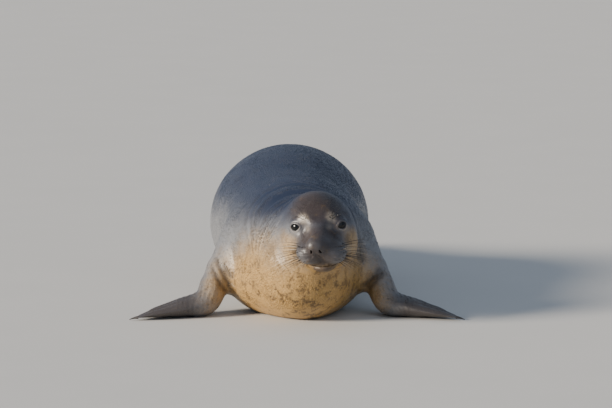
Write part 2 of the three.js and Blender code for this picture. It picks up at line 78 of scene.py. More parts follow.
# Soft forms of the head in its own frame (x to both sides, y back from the nose, z up): place, size
# and how softly each melts into the ones before it
HEAD_FORMS = (
    ((0, 186, 22), (90, 102, 88), 1),
    ((0, 238, -8), (90, 90, 90), 50),
    ((46, 150, -30), (48, 76, 50), 45),
    ((0, 88, -12), (60, 84, 44), 40),
    ((0, 124, -46), (56, 66, 38), 30),
    ((0, 80, 18), (28, 84, 30), 34),
    ((0, 16, 16), (28, 25, 24), 20),
    ((35, 42, -12), (34, 44, 31), 18),
    ((0, 66, -48), (42, 58, 23), 9),
)
HEAD_SWELLS = (
    ((38, 116, 66), (20, 24, 14), 5),
    ((36, 96, 34), (13, 22, 18), -7),
    ((66, 102, 2), (18, 22, 14), -4),
    ((0, -2, -14), (5, 16, 16), -6),
)
# The neck and trunk, in the frame of the whole seal
BODY_FORMS = (
    ((3, -10, 170), (212, 255, 196), 1),
    ((18, -205, 142), (142, 162, 148), 60),
    ((-14, -70, 84), (180, 190, 96), 60),
    ((36, -170, 238), (112, 150, 82), 50),
    ((-21, 350, 202), (231, 440, 222), 70),
)
REAR = {
    "from": (-27, 430, 180), "to": (-62, 1080, 74), "wide": (212, 84), "full": 1.3, "flat": 0.93, "soft": 60,
}
SHOULDER = {
    "from": (146, -40, 178), "to": (206, -84, 120), "wide": (72, 44), "full": 1, "flat": 1, "soft": 60,
}
FOLDS = {"hinge": (-300, 120), "angles": (66, 58.5, 51), "wide": 2.1, "rise": 5, "from": 170, "to": 250}
FORE = {
    "route": ((120, -40, 190), (178, -72, 140), (230, -118, 84), (259, -172, 38), (318, -192, 27),
              (392, -206, 17), (468, -218, 5)),
    "chord": (100, 104, 98, 96, 112, 122, 120),
    "thick": (112, 98, 82, 76, 56, 36, 11),
    "digits": (1, 0.96, 0.9, 0.83, 0.75),
    "web": 0.035, "rib": 0.3, "ribs_from": 0.66, "blunt": 14, "shift": 0, "grid": (84, 56),
}
HIND = {
    "route": ((46, 1040, 64), (60, 1120, 44), (76, 1190, 30), (94, 1270, 17), (118, 1390, 7)),
    "chord": (86, 84, 90, 130, 176),
    "thick": (92, 84, 58, 33, 12),
    "digits": (1, 0.88, 0.8, 0.84, 0.94),
    "web": 0.05, "rib": 0.3, "ribs_from": 0.4, "blunt": 14, "shift": REAR["to"][0], "grid": (56, 52),
    "tilt": 6,
}
# The coat's depth on the limbs in mm, and its share on the face
LIMB_COAT = 1
FACE_COAT = 0.35
# How far from the body a limb begins to flare into it, and how far the skin stays above the floor
FLARE = 26
FLOOR_GAP = 0.4
FAR = 1e9
# How the skin is drawn in behind each eyeball: degrees from the eye's look, degrees over which that
# fades, and the largest distance from the eye's centre that is drawn in to the distance "deep"
SOCKET = {"open": 50, "fade": 10, "near": 42, "deep": 14}

# Stations of the skin's rows: place, pitch, yaw and roll. HEAD_STATIONS have their places in the head's
# own frame
STATIONS = {
    "snout": ((0, 64, -10), -11, 0, 3),
    "brow": ((0, 84, -8), 3, 0, 3),
    "skull": ((0, 182, -4), 38, 0, 3),
    "nape": ((40, -215, 225), 46, 0, 0),
    "withers": ((16, -145, 190), 31, 0, 0),
    "shoulders": ((4, -60, 192), 22, 0, 0),
    "ribs": ((-6, 60, 195), 12, 0, 0),
    "waist": ((-14, 170, 195), 4, 0, 0),
    "belly": ((-22, 350, 195), 0, 0, 0),
    "flank": ((-33, 560, 185), 0, 0, 0),
    "loin": ((-52, 880, 112), 0, 0, 0),
    "rump": ((-62, 1080, 74), 0, 0, 0),
}
HEAD_STATIONS = ("snout", "brow", "skull")
# Runs of rows from station to station, and how many rows each has
HEAD_RUNS = (("snout", "brow", 14), ("brow", "skull", 60))
TRUNK_RUNS = (
    ("skull", "nape", 36), ("nape", "withers", 20), ("withers", "shoulders", 20), ("shoulders", "ribs", 26),
    ("ribs", "waist", 18), ("waist", "belly", 26), ("belly", "flank", 28), ("flank", "loin", 38),
    ("loin", "rump", 24),
)
HEAD_COLUMNS = 256
TRUNK_COLUMNS = 128
FAN_ROWS = 78
REAR_FAN_ROWS = 22

# Each crease is a line of points, its half width and its depth
CREASES = (
    (((-226, -150, 150), (-204, -150, 110), (-184, -150, 76)), 4.5, 4),
    (((-238, -150, 128), (-220, -150, 96), (-206, -150, 72)), 4, 3),
    (((-206, -150, 140), (-186, -150, 108)), 3.5, 2),
    (((192, -150, 84), (212, -150, 104), (230, -150, 126)), 4.5, 4),
    (((204, -150, 76), (224, -150, 98), (240, -150, 116)), 4, 2.5),
    (((172, -148, 226), (180, -148, 190), (184, -148, 152)), 4, 2.5),
    (((160, -160, 214), (168, -160, 184), (171, -160, 160)), 3.5, 1.6),
)
# Creases lie ahead of this y
CREASES_END = -60
# Furrow ahead of each eye's inner corner, in the head's frame
FURROW = ((44, 108, 28), (36, 90, 21), (38, 66, 12))

# Coloured, rough and bare regions of the head in its own frame: place, size and the share of it that
# fades
PATCHES = {
    "head": ((0, 130, 0), (125, 190, 135), 0.25),
    "crown": ((0, 165, 88), (86, 110, 74), 0.8),
    "muzzle": ((0, 56, 4), (76, 92, 62), 0.6),
    "cheek": ((78, 128, -40), (58, 84, 66), 0.7),
    "nose": ((0, 20, 30), (19, 34, 22), 0.8),
    "lip": ((0, 14, -53), (46, 50, 11), 0.6),
    "jaw": ((0, 50, -64), (58, 84, 22), 0.5),
    "throat": ((0, 52, -64), (62, 84, 34), 0.5),
    "brow": ((36, 113, 64), (14, 20, 13), 0.95),
    "corner": ((27, 94, 44), (12, 22, 10), 0.95),
    "pads": ((38, 30, -14), (27, 42, 25), 0.5),
    "bridge": ((0, 48, 40), (26, 34, 20), 0.6),
    "nostrils": ((0, -4, 2), (24, 20, 22), 0.1),
}
# Golden chest, in the whole seal's frame
CHEST = ((-10, -230, 76), (245, 230, 160), 0.7)
# Where the dark back ends: y, height of the line between back and flank, and how softly it fades
BACK_LINE = (
    (-400, 255, 120), (-100, 225, 190), (300, 205, 215), (600, 180, 190), (1080, 80, 80), (1300, 40, 30),
)

# Nodes of the solids that the skin stands for
FLESH = [
    "head", "muzzle", "lower_jaw", "neck", "chest", "torso", "loins", "hips",
    "fore_flipper_left", "fore_flipper_right", "hind_flipper_left", "hind_flipper_right", "tail",
]
SIDES = {"left": 1, "right": -1}
# Grids of the skin, kept for the coat that grows from it
SHAPES = {}

# Tufts in each piece of the coat, and their forms: half width and height by length, height before that,
# depth of the roots in mm, and half width of a tuft's patch of the map
TUFTS = 18500
TUFT = {"half_wide": 0.105, "high": 0.4, "higher": 0.045, "sunk": 0.25, "patch": 0.0015}
LIMBS = ("fore_left", "fore_right", "hind_left", "hind_right")
TUFT_PIECES = (
    # name, slot, grids, first and last share of the rows, length in mm
    ("coat_head", "skin_head", ("head",), (0, 1), 5.5),
    ("coat_neck", "skin_throat", ("trunk",), (0, 0.22), 9),
    ("coat_shoulders", "skin_flank", ("trunk",), (0.22, 0.47), 12),
    ("coat_belly", "skin_back", ("trunk",), (0.47, 0.68), 13),
    ("coat_rear", "skin_back", ("trunk",), (0.68, 1), 11),
    ("coat_flippers", "skin_flipper", LIMBS, (0, 0.93), 6),
)
# A tuft has a ring of three points at its root, one further on, and a tip. Each point is given as its
# shares of the length along, of half the width to the side and of the height
TUFT_POINTS = (
    (0, 1, 0), (0, -1, 0), (0, 0, 0.45), (0.45, 0.9, 0.2), (0.45, -0.9, 0.2), (0.45, 0, 1), (1, 0, 0.5),
)
TUFT_PATCH = ((-1, -1), (1, -1), (0, -0.8), (-0.7, 0.1), (0.7, 0.1), (0, 0.3), (0, 1))

# name, place in metres, strength, width in degrees, colour
LIGHTS = (
    ("key", (-6.0, -2.6, 2.5), 7.0, 16, (1.0, 0.90, 0.77)),
    ("fill", (2.0, -6.0, 3.0), 0.3, 60, (0.80, 0.88, 1.0)),
)
SKY = {"Color": (0.66, 0.79, 1.0, 1), "Strength": 0.42}
FLOOR = ((-40, -40, 0), (40, -40, 0), (40, 40, 0), (-40, 40, 0))
CAMERA = {"lens": 210, "far": 200, "at": (0, -10.097, 1.564), "down": 7.17, "left": -0.144}


# Distances to simple forms, on whole arrays of points


def smooth(t):
    """0 up to t = 0, 1 from t = 1, and 3 t squared - 2 t cubed between."""
    t = np.clip(t, 0, 1)
    return t * t * (3 - 2 * t)


def bell(t):
    """1 at t = 0, falling off to both sides as exp(-t squared)."""
    return np.exp(-(t**2))


def norm(v):
    """Lengths of vectors."""
    return np.linalg.norm(v, axis=-1)


def unit(v):
    """Vectors scaled to a length of 1."""
    return v / np.maximum(norm(v), 1e-9)[..., None]


def vectors(*parts):
    """Vectors from arrays or numbers that give each of their parts."""
    return np.stack(np.broadcast_arrays(*parts), axis=-1)


def between(pair, share):
    """The value at a share of the way from the first of two values to the second."""
    return pair[0] + (pair[1] - pair[0]) * share


def circle(count):
    """Evenly spaced turns once round, in radians."""
    return 2 * np.pi * np.arange(count) / count


def halve(inside, low, high, times):
    """The place between low and high where inside(place) becomes false."""
    for _ in range(times):
        middle = (low + high) / 2
        within = inside(middle)
        low, high = np.where(within, middle, low), np.where(within, high, middle)
    return (low + high) / 2


def ellipsoid(p, at, size):
    """Near the distance to an ellipsoid: k (k - 1) / m, where k is the length of the offset divided by
    the radii and m its length divided by their squares."""
    offset = p - at
    near = norm(offset / size)
    slope = norm(offset / np.square(size))
    return near * (near - 1) / np.maximum(slope, 1e-9)


def taper(p, form):
    """Distance to a rod whose radius shrinks from one end to the other as the share to the power full."""
    along = np.subtract(form["to"], form["from"])
    off = p - form["from"]
    share = np.clip(off @ along / (along @ along), 0, 1)
    off = (off - share[..., None] * along) / [1, 1, form["flat"]]
    return norm(off) - between(form["wide"], share ** form["full"])


def melt(a, b, soft):
    """The smaller of two distances, lowered by h squared times soft / 4 where they differ by less than
    soft, with h = 1 - difference / soft."""
    h = np.maximum(soft - np.abs(a - b), 0) / soft
    return np.minimum(a, b) - h * h * soft / 4


def hill(p, at, size):
    """exp(-r squared / 2), where r is the length of the offset divided by the sizes."""
    return np.exp(-0.5 * np.sum(((p - at) / size) ** 2, axis=-1))


def axis_turn(axis, degrees):
    """Rotation matrices about x, y or z (axis 0, 1 or 2)."""
    angle = np.radians(np.asarray(degrees, float))
    i, j = ((1, 2), (2, 0), (0, 1))[axis]
    turn = np.zeros(angle.shape + (3, 3))
    turn[..., axis, axis] = 1
    turn[..., i, i] = turn[..., j, j] = np.cos(angle)
    turn[..., i, j] = -np.sin(angle)
    turn[..., j, i] = np.sin(angle)
    return turn


def turn_of(pitch, yaw, roll):
    """Yaw after pitch after roll, with pitch nose up."""
    return axis_turn(2, yaw) @ axis_turn(0, np.negative(pitch)) @ axis_turn(1, np.negative(roll))


HEAD_TURN = turn_of(**HEAD)


def slide(y, z):
    """How far the face's middle has slid to the side: it leans with each mm of height, and the nose
    turns to one side ahead of a line, fading out towards the mouth."""
    fade = smooth((z - NOSE_BEND["low"]) / (NOSE_BEND["high"] - NOSE_BEND["low"]))
    bent = np.maximum(NOSE_BEND["from"] - y, 0) * fade
    return HEAD_LEAN * (EYE["at"][2] - z) - NOSE_BEND["share"] * bent


def straight_to_head(p):
    """Points of the whole seal in the head's own frame."""
    return (p - np.array(NOSE)) @ HEAD_TURN


def straight_from_head(p):
    """The inverse of straight_to_head."""
    return np.asarray(p, float) @ HEAD_TURN.T + NOSE


def to_head(p):
    """Points of the whole seal in the head's frame, with the face's sideways slide taken out."""
    own = straight_to_head(p)
    own[..., 0] -= slide(own[..., 1], own[..., 2])
    return own


def from_head(p):
    """The inverse of to_head."""
    own = np.array(p, float)
    own[..., 0] += slide(own[..., 1], own[..., 2])
    return straight_from_head(own)


def both_sides(p):
    """Points with x made positive, for what is alike on both sides."""
    return np.concatenate([np.abs(p[..., :1]), p[..., 1:]], axis=-1)


def mouth_height(y):
    """Height of the line between the lips at each y of the head's frame: the parabola through the
    mouth's three points."""
    return np.polyval(np.polyfit(*zip(*MOUTH["line"]), 2), y)


def off_lips(own):
    """Height over the middle of the gap between the lips."""
    return own[..., 2] - mouth_height(own[..., 1]) + 0.6


def hinge_angle(p):
    """Turn about the hinge line across the throat, in degrees from the way back to the way up."""
    return np.degrees(np.arctan2(p[..., 2] - FOLDS["hinge"][1], p[..., 1] - FOLDS["hinge"][0]))


def head_distance(own):
    side = both_sides(own)
    d = np.full(own.shape[:-1], FAR)
    for at, size, soft in HEAD_FORMS:
        d = melt(d, ellipsoid(side, at, size), soft)
    for at, size, rise in HEAD_SWELLS:
        d = d - rise * hill(side, at, size)
    d = d + 1.8 * bell(off_lips(own) / 4.5) * smooth((112 - own[..., 1]) / 30)
    mound = EYE["radius"] + LIDS["thick"]
    return melt(d, ellipsoid(side, EYE["at"], (mound, mound, mound)), 12)


def fold_height(p):
    """Rolls of skin: ridges that fall off as a bell of the angle about the hinge line."""
    angle = hinge_angle(p)
    rolls = sum(bell((angle - at) / FOLDS["wide"]) for at in FOLDS["angles"])
    return FOLDS["rise"] * rolls * smooth((p[..., 2] - FOLDS["from"]) / (FOLDS["to"] - FOLDS["from"]))


def body_distance(p):
    """Distance to the neck, trunk and head, with no floor."""
    d = np.full(p.shape[:-1], FAR)
    for at, size, soft in BODY_FORMS:
        d = melt(d, ellipsoid(p, at, size), soft)
    d = melt(d, taper(p, REAR), REAR["soft"])
    d = melt(d, taper(both_sides(p), SHOULDER), SHOULDER["soft"])
    return melt(d, head_distance(to_head(p)), 34) - fold_height(p)


def skin_distance(p, inset):
    """The body's distance, inset by the coat's depth, which is less on the face, and rounded off where
    it rests on the floor."""
    deep = between((FACE_COAT, 1), smooth((p[..., 1] + 330) / 120))
    return -melt(-(body_distance(p) + inset * deep), p[..., 2] - FLOOR_GAP, 8)


# The skin along rays from stations inside the body


def station_values(name):
    """Place, pitch, yaw and roll of a station, in the whole seal's frame."""
    at, *turns = STATIONS[name]
    return np.array([*(from_head(at) if name in HEAD_STATIONS else at), *turns], float)


def run_rows(a, b, count):
    """Rows between two stations, the first left out: place, pitch, yaw, roll and a fan of 90 degrees."""
    share = (np.arange(count) + 1)[:, None] / count
    values = station_values(a) * (1 - share) + station_values(b) * share
    return np.insert(values, 6, 90, axis=1)


def fan_rows(name, start, end, count):
    """Rows that open or close at one station."""
    fans = np.linspace(start, end, count)[:, None]
    return np.hstack([np.repeat(station_values(name)[None], count, axis=0), fans])


def cast(origin, ray, inset):
    """Where each ray meets the skin: steps of 0.8 times the distance still to go, then halving of the
    last 6 mm."""
    reach = np.zeros(len(origin))
    live = np.arange(len(origin))
    for _ in range(90):
        d = skin_distance(origin[live] + ray[live] * reach[live, None], inset)
        going = d < -0.02
        reach[live[going]] += np.maximum(-d[going] * 0.8, 0.05)
        live = live[going]
        if not len(live):
            break

    def inside(middle):
        return skin_distance(origin + ray * middle[:, None], inset) < 0

    return origin + ray * halve(inside, np.maximum(reach - 3, 0), reach + 3, 14)[:, None]


def cast_rows(rows, columns, inset):
    """A grid of skin points, rows by columns. A ray leans from its row's forward axis by the fan, and
    the columns go once round it from below."""
    fan = np.radians(rows[:, 6])[:, None]
    around = circle(columns)[None] - np.pi / 2
    local = vectors(np.sin(fan) * np.cos(around), -np.cos(fan), np.sin(fan) * np.sin(around))
    ray = np.einsum("rij,rcj->rci", turn_of(*rows[:, 3:6].T), local)
    origin = np.repeat(rows[:, None, :3], columns, axis=1)
    return cast(origin.reshape(-1, 3), ray.reshape(-1, 3), inset).reshape(len(rows), columns, 3)


# Limbs: flat tubes along a route


def route_point(route, s):
    """A centripetal Catmull-Rom curve through the route's points, at shares s of their number."""
    points = np.asarray(route, float)
    ends = np.vstack([2 * points[0] - points[1], points, 2 * points[-1] - points[-2]])
    place = np.clip(s, 0, 1) * (len(points) - 1)
    low = np.minimum(place.astype(int), len(points) - 2)
    t = (place - low)[..., None]
    a, b, c, d = (ends[low + k] for k in range(4))
    gaps = [np.sqrt(norm(q - p))[..., None] for p, q in ((a, b), (b, c), (c, d))]
    leave = ((b - a) / gaps[0] - (c - a) / (gaps[0] + gaps[1]) + (c - b) / gaps[1]) * gaps[1]
    arrive = ((c - b) / gaps[1] - (d - b) / (gaps[1] + gaps[2]) + (d - c) / gaps[2]) * gaps[1]
    return b + leave * t + (3 * (c - b) - 2 * leave - arrive) * t**2 + (2 * (b - c) + leave + arrive) * t**3


def profile(values, s):
    """A size along the limb: half way between straight lines and smooth steps from value to value."""
    values = np.asarray(values, float)
    place = np.clip(s, 0, 1) * (len(values) - 1)
    low = np.minimum(place.astype(int), len(values) - 2)
    t = place - low
    return values[low] + (values[low + 1] - values[low]) * (smooth(t) + t) / 2


def digit_place(limb, u):
    return (u + 1) / 2 * len(limb["digits"]) - 0.5


def digit_reach(limb, u):
    """How far along the route the limb's edge is at each share u of the chord, less the webs' notches."""
    digits = np.asarray(limb["digits"], float)
    place = digit_place(limb, u)
    low = np.clip(np.floor(place).astype(int), 0, len(digits) - 2)
    t = np.clip(place - low, 0, 1)
    notch = limb["web"] * (1 - np.cos(place * 2 * np.pi)) / 2
    return digits[low] + (digits[low + 1] - digits[low]) * t - notch


def limb_of(form, side):
    """A limb of one side. Its chord lies along "across" and its thickness at right angles to it."""
    limb = dict(form, side=side, across=np.array([0.0, 1, 0]))
    limb["route"] = [(form["shift"] + side * x, y, z) for x, y, z in form["route"]]
    if "tilt" in form:
        tilt = math.radians(form["tilt"])
        limb["across"] = np.array([-side * math.cos(tilt), 0, math.sin(tilt)])
    return limb


def limb_frame(limb, s):
    """Place on the route, the direction along it, across it and out of its upper face."""
    step = 1e-4
    route = limb["route"]
    along = unit(route_point(route, np.minimum(s + step, 1)) - route_point(route, np.maximum(s - step, 0)))
    across = unit(limb["across"] - along * (along @ limb["across"])[..., None])
    return route_point(route, s), along, across, np.cross(across, along) * limb["side"]


def limb_points(limb, w, turn, inset=0):
    """Surface of a limb at shares w of its own length and turns round it: chord times the cosine of the
    turn, thickness times its sine, thinned at the end by the root of 1 - w to the power blunt."""
    u = np.cos(turn)
    s = w * digit_reach(limb, u)
    at, _, across, out = limb_frame(limb, s)
    ridge = (np.cos(digit_place(limb, u) * 2 * np.pi) - 1) / 2
    rib = 1 + limb["rib"] * smooth((s - limb["ribs_from"]) / 0.2) * ridge
    edge = np.sqrt(1 - np.clip(w, 0, 1) ** limb["blunt"])
    chord = profile(limb["chord"], s) / 2 - inset
    thick = np.maximum(profile(limb["thick"], s) / 2 - inset, 1.5)
    point = at + across * (u * chord)[..., None] + out * (np.sin(turn) * rib * edge * thick)[..., None]
    point[..., 2] = np.maximum(point[..., 2], FLOOR_GAP)
    return point


def limb_grid(limb):
    """The limb's grid of points from root to tip. Near the body its surface flares until it lies on
    the body: its rise solves melt(rise, the body's distance, FLARE) = 0."""
    rows, columns = limb["grid"]
    w = np.linspace(0, 1, rows + 1)[:, None]
    turn = circle(columns)[None] * limb["side"]
    grid = limb_points(limb, w + 0 * turn, turn + 0 * w, LIMB_COAT)
    normal = grid_normals(grid)

    def inside(rise):
        body = body_distance(grid + normal * rise[..., None]) + LIMB_COAT + 0.3
        return melt(rise, body, FLARE) < 0

    flat = np.zeros(grid.shape[:2])
    rise = halve(inside, flat, flat + FLARE, 12)
    away = body_distance(grid) + LIMB_COAT >= FLARE
    return grid + normal * np.where(away, 0, rise)[..., None]


# Grids, meshes and objects


def grid_normals(grid):
    """Unit normals of a grid whose columns close up, from the differences of its neighbours."""
    around = np.roll(grid, -1, axis=1) - np.roll(grid, 1, axis=1)
    return unit(np.cross(np.gradient(grid, axis=0), around))


def grid_quads(rows, columns, base):
    """Faces of a grid whose columns close up. Its points are numbered from base."""
    index = base + np.arange(rows * columns).reshape(rows, columns)
    a, b = index[:-1], index[1:]
    return vectors(a, b, np.roll(b, -1, 1), np.roll(a, -1, 1)).reshape(-1, 4)


def pole_faces(ring, pole, turned):
    """Triangles from a ring of point numbers to one point."""
    after = np.roll(ring, -1)
    return vectors(pole, after, ring) if turned else vectors(pole, ring, after)


def values_of(items, name):
    """One vector of each of a mesh's points or normals, as an array."""
    values = np.empty(len(items) * 3)
    items.foreach_get(name, values)
    return values.reshape(-1, 3)


def link(name, data):
    """An object of the scene that shows a mesh, a lamp or a camera."""
    thing = bpy.data.objects.new(name, data)
    bpy.context.scene.collection.objects.link(thing)
    return thing


def new_object(name, points, faces):
    """A mesh object at the origin, from points in millimetres and arrays of faces. If its faces enclose
    less than nothing, they are turned over."""
    mesh = bpy.data.meshes.new(name)
    polygons = [face for group in faces for face in group.tolist()]
    mesh.from_pydata((points.reshape(-1, 3) * MM).tolist(), [], polygons)
    mesh.shade_smooth()
    mesh.calc_loop_triangles()
    corners = np.empty(len(mesh.loop_triangles) * 3, np.int32)
    mesh.loop_triangles.foreach_get("vertices", corners)
    a, b, c = np.moveaxis(values_of(mesh.vertices, "co")[corners].reshape(-1, 3, 3), 1, 0)
    if np.sum(np.cross(a, b) * c) < 0:
        mesh.flip_normals()
    return link(name, mesh)


def tube_object(name, tubes):
    """One mesh of closed tubes. Each has a grid of rings, and the points that close its two ends."""
    points, faces = [], []
    for grid, start, end in tubes:
        rows, columns = grid.shape[:2]
        base = sum(len(group) for group in points)
        first = base + 1 + np.arange(columns)
        last = first + (rows - 1) * columns
        points.append(np.vstack([start, grid.reshape(-1, 3), end]))
        faces.append(grid_quads(rows, columns, base + 1))
        faces.append(pole_faces(first, base, False))
        faces.append(pole_faces(last, last[-1] + 1, True))
    return new_object(name, np.vstack(points), faces)


def capped(grid):
    """A tube whose ends are closed at the middles of its first and last rings."""
    return grid, grid[0].mean(0), grid[-1].mean(0)


def combine(base, tools, operation):
    """Joins closed meshes to a closed mesh, or cuts them from it, and removes them."""
    for tool in tools:
        modifier = base.modifiers.new(tool.name, "BOOLEAN")
        modifier.operation = operation
        modifier.solver = "MANIFOLD"
        modifier.object = tool
    graph = bpy.context.evaluated_depsgraph_get()
    mesh = bpy.data.meshes.new_from_object(base.evaluated_get(graph))
    if len(mesh.vertices) == len(base.data.vertices):
        raise RuntimeError(f"{base.name}: the meshes don't join")
    base.modifiers.clear()
    base.data = mesh
    for tool in tools:
        bpy.data.objects.remove(tool)


# Relief: creases and ripples of the skin


def line_distance(p, line):
    """Distance to the nearest point of a line of straight pieces, as seen from the front: what lies
    ahead or behind counts for an eighth."""
    flat = np.array([1, 0.125, 1])
    best = np.full(p.shape[:-1], FAR)
    for a, b in zip(line[:-1], line[1:]):
        along = np.subtract(b, a) * flat
        off = (p - a) * flat
        share = np.clip(off @ along / (along @ along), 0, 1)
        best = np.minimum(best, norm(off - share[..., None] * along))
    return best


def waves(p, longest, shortest, seed):
    """Soft random relief, mostly between -1 and 1: plane waves of random direction and length, added
    up."""
    draw = np.random.default_rng(seed)
    total = 0
    for _ in range(14):
        way = draw.normal(size=3)
        way *= 2 * np.pi / (norm(way) * draw.uniform(shortest, longest))
        total = total + np.sin(p @ way + draw.uniform(0, 2 * np.pi))
    return total / 5


def face_relief(own):
    """Rise of the face's skin in the head's frame: rows of whisker roots on the pads and wrinkles over
    the nose, less the cleft of the upper lip and a furrow from each eye's inner corner."""
    side = both_sides(own)
    rows = region(side, *PATCHES["pads"]) * np.sin(own[:, 2] * 2 * np.pi / 8.5)
    bridge = region(side, *PATCHES["bridge"]) * np.sin(own[:, 1] * 2 * np.pi / 7 + own[:, 0] / 6)
    cleft = bell(side[:, 0] / 2.2) * bell((own[:, 2] + 20) / 13) * smooth((16 - own[:, 1]) / 12)
    furrow = bell(line_distance(side, FURROW) / 3.5) * smooth((130 - own[:, 1]) / 20)
    return 0.45 * rows + 0.35 * bridge - 1.5 * cleft - 1.7 * furrow


def creases(p, spread):
    """Each crease's fall-off to both sides, with its width spread by a factor, and its depth."""
    for line, wide, deep in CREASES:
        yield bell(line_distance(p, line) / (wide * spread)) * (p[..., 1] < CREASES_END), deep


def relief(p):
    """Rise of the skin over its soft forms: ripples of blubber, rolls of the nape, wrinkles of the
    wrists and the face's own relief, less a groove along each crease."""
    angle = hinge_angle(p)
    nape = smooth((p[:, 2] - 170) / 90) * smooth((angle - 38) / 14) * (1 - smooth((angle - 78) / 8))
    out = np.abs(p[:, 0])
    wrist = smooth((out - 212) / 25) * (1 - smooth((out - 300) / 50)) * (p[:, 1] < -70)
    rise = 0.35 * waves(p, 90, 40, SEED) + face_relief(to_head(p))
    rise += 1.3 * nape * np.sin(np.radians(angle * 92) + 2.6 * waves(p, 260, 110, SEED + 2))
    rise += 0.7 * wrist * np.sin(out / 2 + p[:, 2] / 7 + 1.5 * waves(p, 90, 40, SEED + 3))
    return rise - sum(deep * groove for groove, deep in creases(p, 1))


# Markings, shared by skin and coat


def region(p, at, size, edge):
    """1 inside an ellipsoid, 0 outside, fading over the share edge of its size."""
    near = norm((p - at) / size)
    return 1 - smooth((near - 1 + edge) / (2 * edge))


def off_look(side):
    """Distance to the line along which an eye looks, distance ahead along it, and offset from the eye."""
    centre, _, look, _ = eye_frame(1)
    away = side - centre
    ahead = away @ look
    return norm(away - ahead[..., None] * look), ahead, away


def markings(p):
    """Where each colour of the coat lies, from 0 to 1, as two colour attributes of three masks each."""
    own = to_head(p)
    side = both_sides(own)
    patch = {name: region(side, *place) for name, place in PATCHES.items()}
    ys, heights, fades = zip(*BACK_LINE)
    y = p[..., 1]
    back = smooth((p[..., 2] - np.interp(y, ys, heights)) / np.interp(y, ys, fades) * 0.9 + 0.34)
    cheek = 0.7 * patch["cheek"] * smooth((215 - own[..., 1]) / 60)
    gold = np.maximum.reduce([region(p, *CHEST), patch["throat"], cheek])
    muzzle = np.maximum(0.92 * patch["muzzle"], 0.8 * patch["nose"])
    dark = np.maximum.reduce([patch["crown"], muzzle, 0.9 * patch["lip"]])
    face = dark * patch["head"] * (1 - 0.2 * patch["jaw"])
    wide, ahead, away = off_look(side)
    # Darker round the opening of each eye, drawn with the creases' painted shade
    lid = 0.8 * (1 - smooth((wide - 9) / 4.5)) * (ahead > 0)
    rim = smooth((wide - 10) / 3) * (1 - smooth((wide - 13) / 8)) * (ahead > 0)
    brow = 0.8 * np.maximum(patch["brow"], 0.55 * patch["corner"])
    pale = np.maximum(brow, rim * (0.45 - 0.2 * smooth(away[..., 2] / 8))) * patch["head"]
    # Painted shade along the gap between the lips
    lips = 0.75 * bell(off_lips(own) / 3) * (own[..., 1] < 96) * patch["head"]
    # Painted shade along each crease
    groove = sum(share for share, _ in creases(p, 1.6))
    crease = np.clip(np.maximum.reduce([groove, lid, lips]), 0, 1)
    fore = smooth((np.abs(p[..., 0]) - 235) / 80) * smooth((40 - y) / 60)
    limb = np.maximum(fore, smooth((y - 1120) / 60))
    return vectors(back, gold, face), vectors(pale, crease, limb)


def store(mesh, name, masks):
    """Keeps three masks of each of a mesh's points as a colour attribute."""
    values = np.hstack([masks, np.ones((len(masks), 1))]).astype(np.float32)
    mesh.attributes.new(name, "FLOAT_COLOR", "POINT").data.foreach_set("color", values.ravel())


def mark(mesh, p, copies=1):
    """Stores the markings on the mesh's points. Where a place stands for several points, they follow
    one another."""
    for name, masks in zip(("coat_tone", "coat_marks"), markings(p)):
        store(mesh, name, np.repeat(masks, copies, axis=0))


# Materials


class Value:
    """A socket of a node tree, with operators that add Math nodes."""

    def __init__(self, maker, socket):
        self.maker = maker
        self.socket = socket

    def math(self, operation, *others):
        return self.maker.node("ShaderNodeMath", {"operation": operation}, dict(enumerate((self, *others))))

    def __add__(self, other):
        return self.math("ADD", other)

    __radd__ = __add__

    def __mul__(self, other):
        return self.math("MULTIPLY", other)

    __rmul__ = __mul__

    def __sub__(self, other):
        return self.math("SUBTRACT", other)

    def __rsub__(self, other):
        return self * -1 + other

    def power(self, other):
        return self.math("POWER", other)

    def clamp(self):
        return self.maker.node("ShaderNodeClamp", {}, {"Value": self})

    def step(self, low, high):
        """0 below low, 1 above high, smooth between."""
        sockets = {"Value": self, "From Min": low, "From Max": high}
        return self.maker.node("ShaderNodeMapRange", {"interpolation_type": "SMOOTHSTEP"}, sockets)


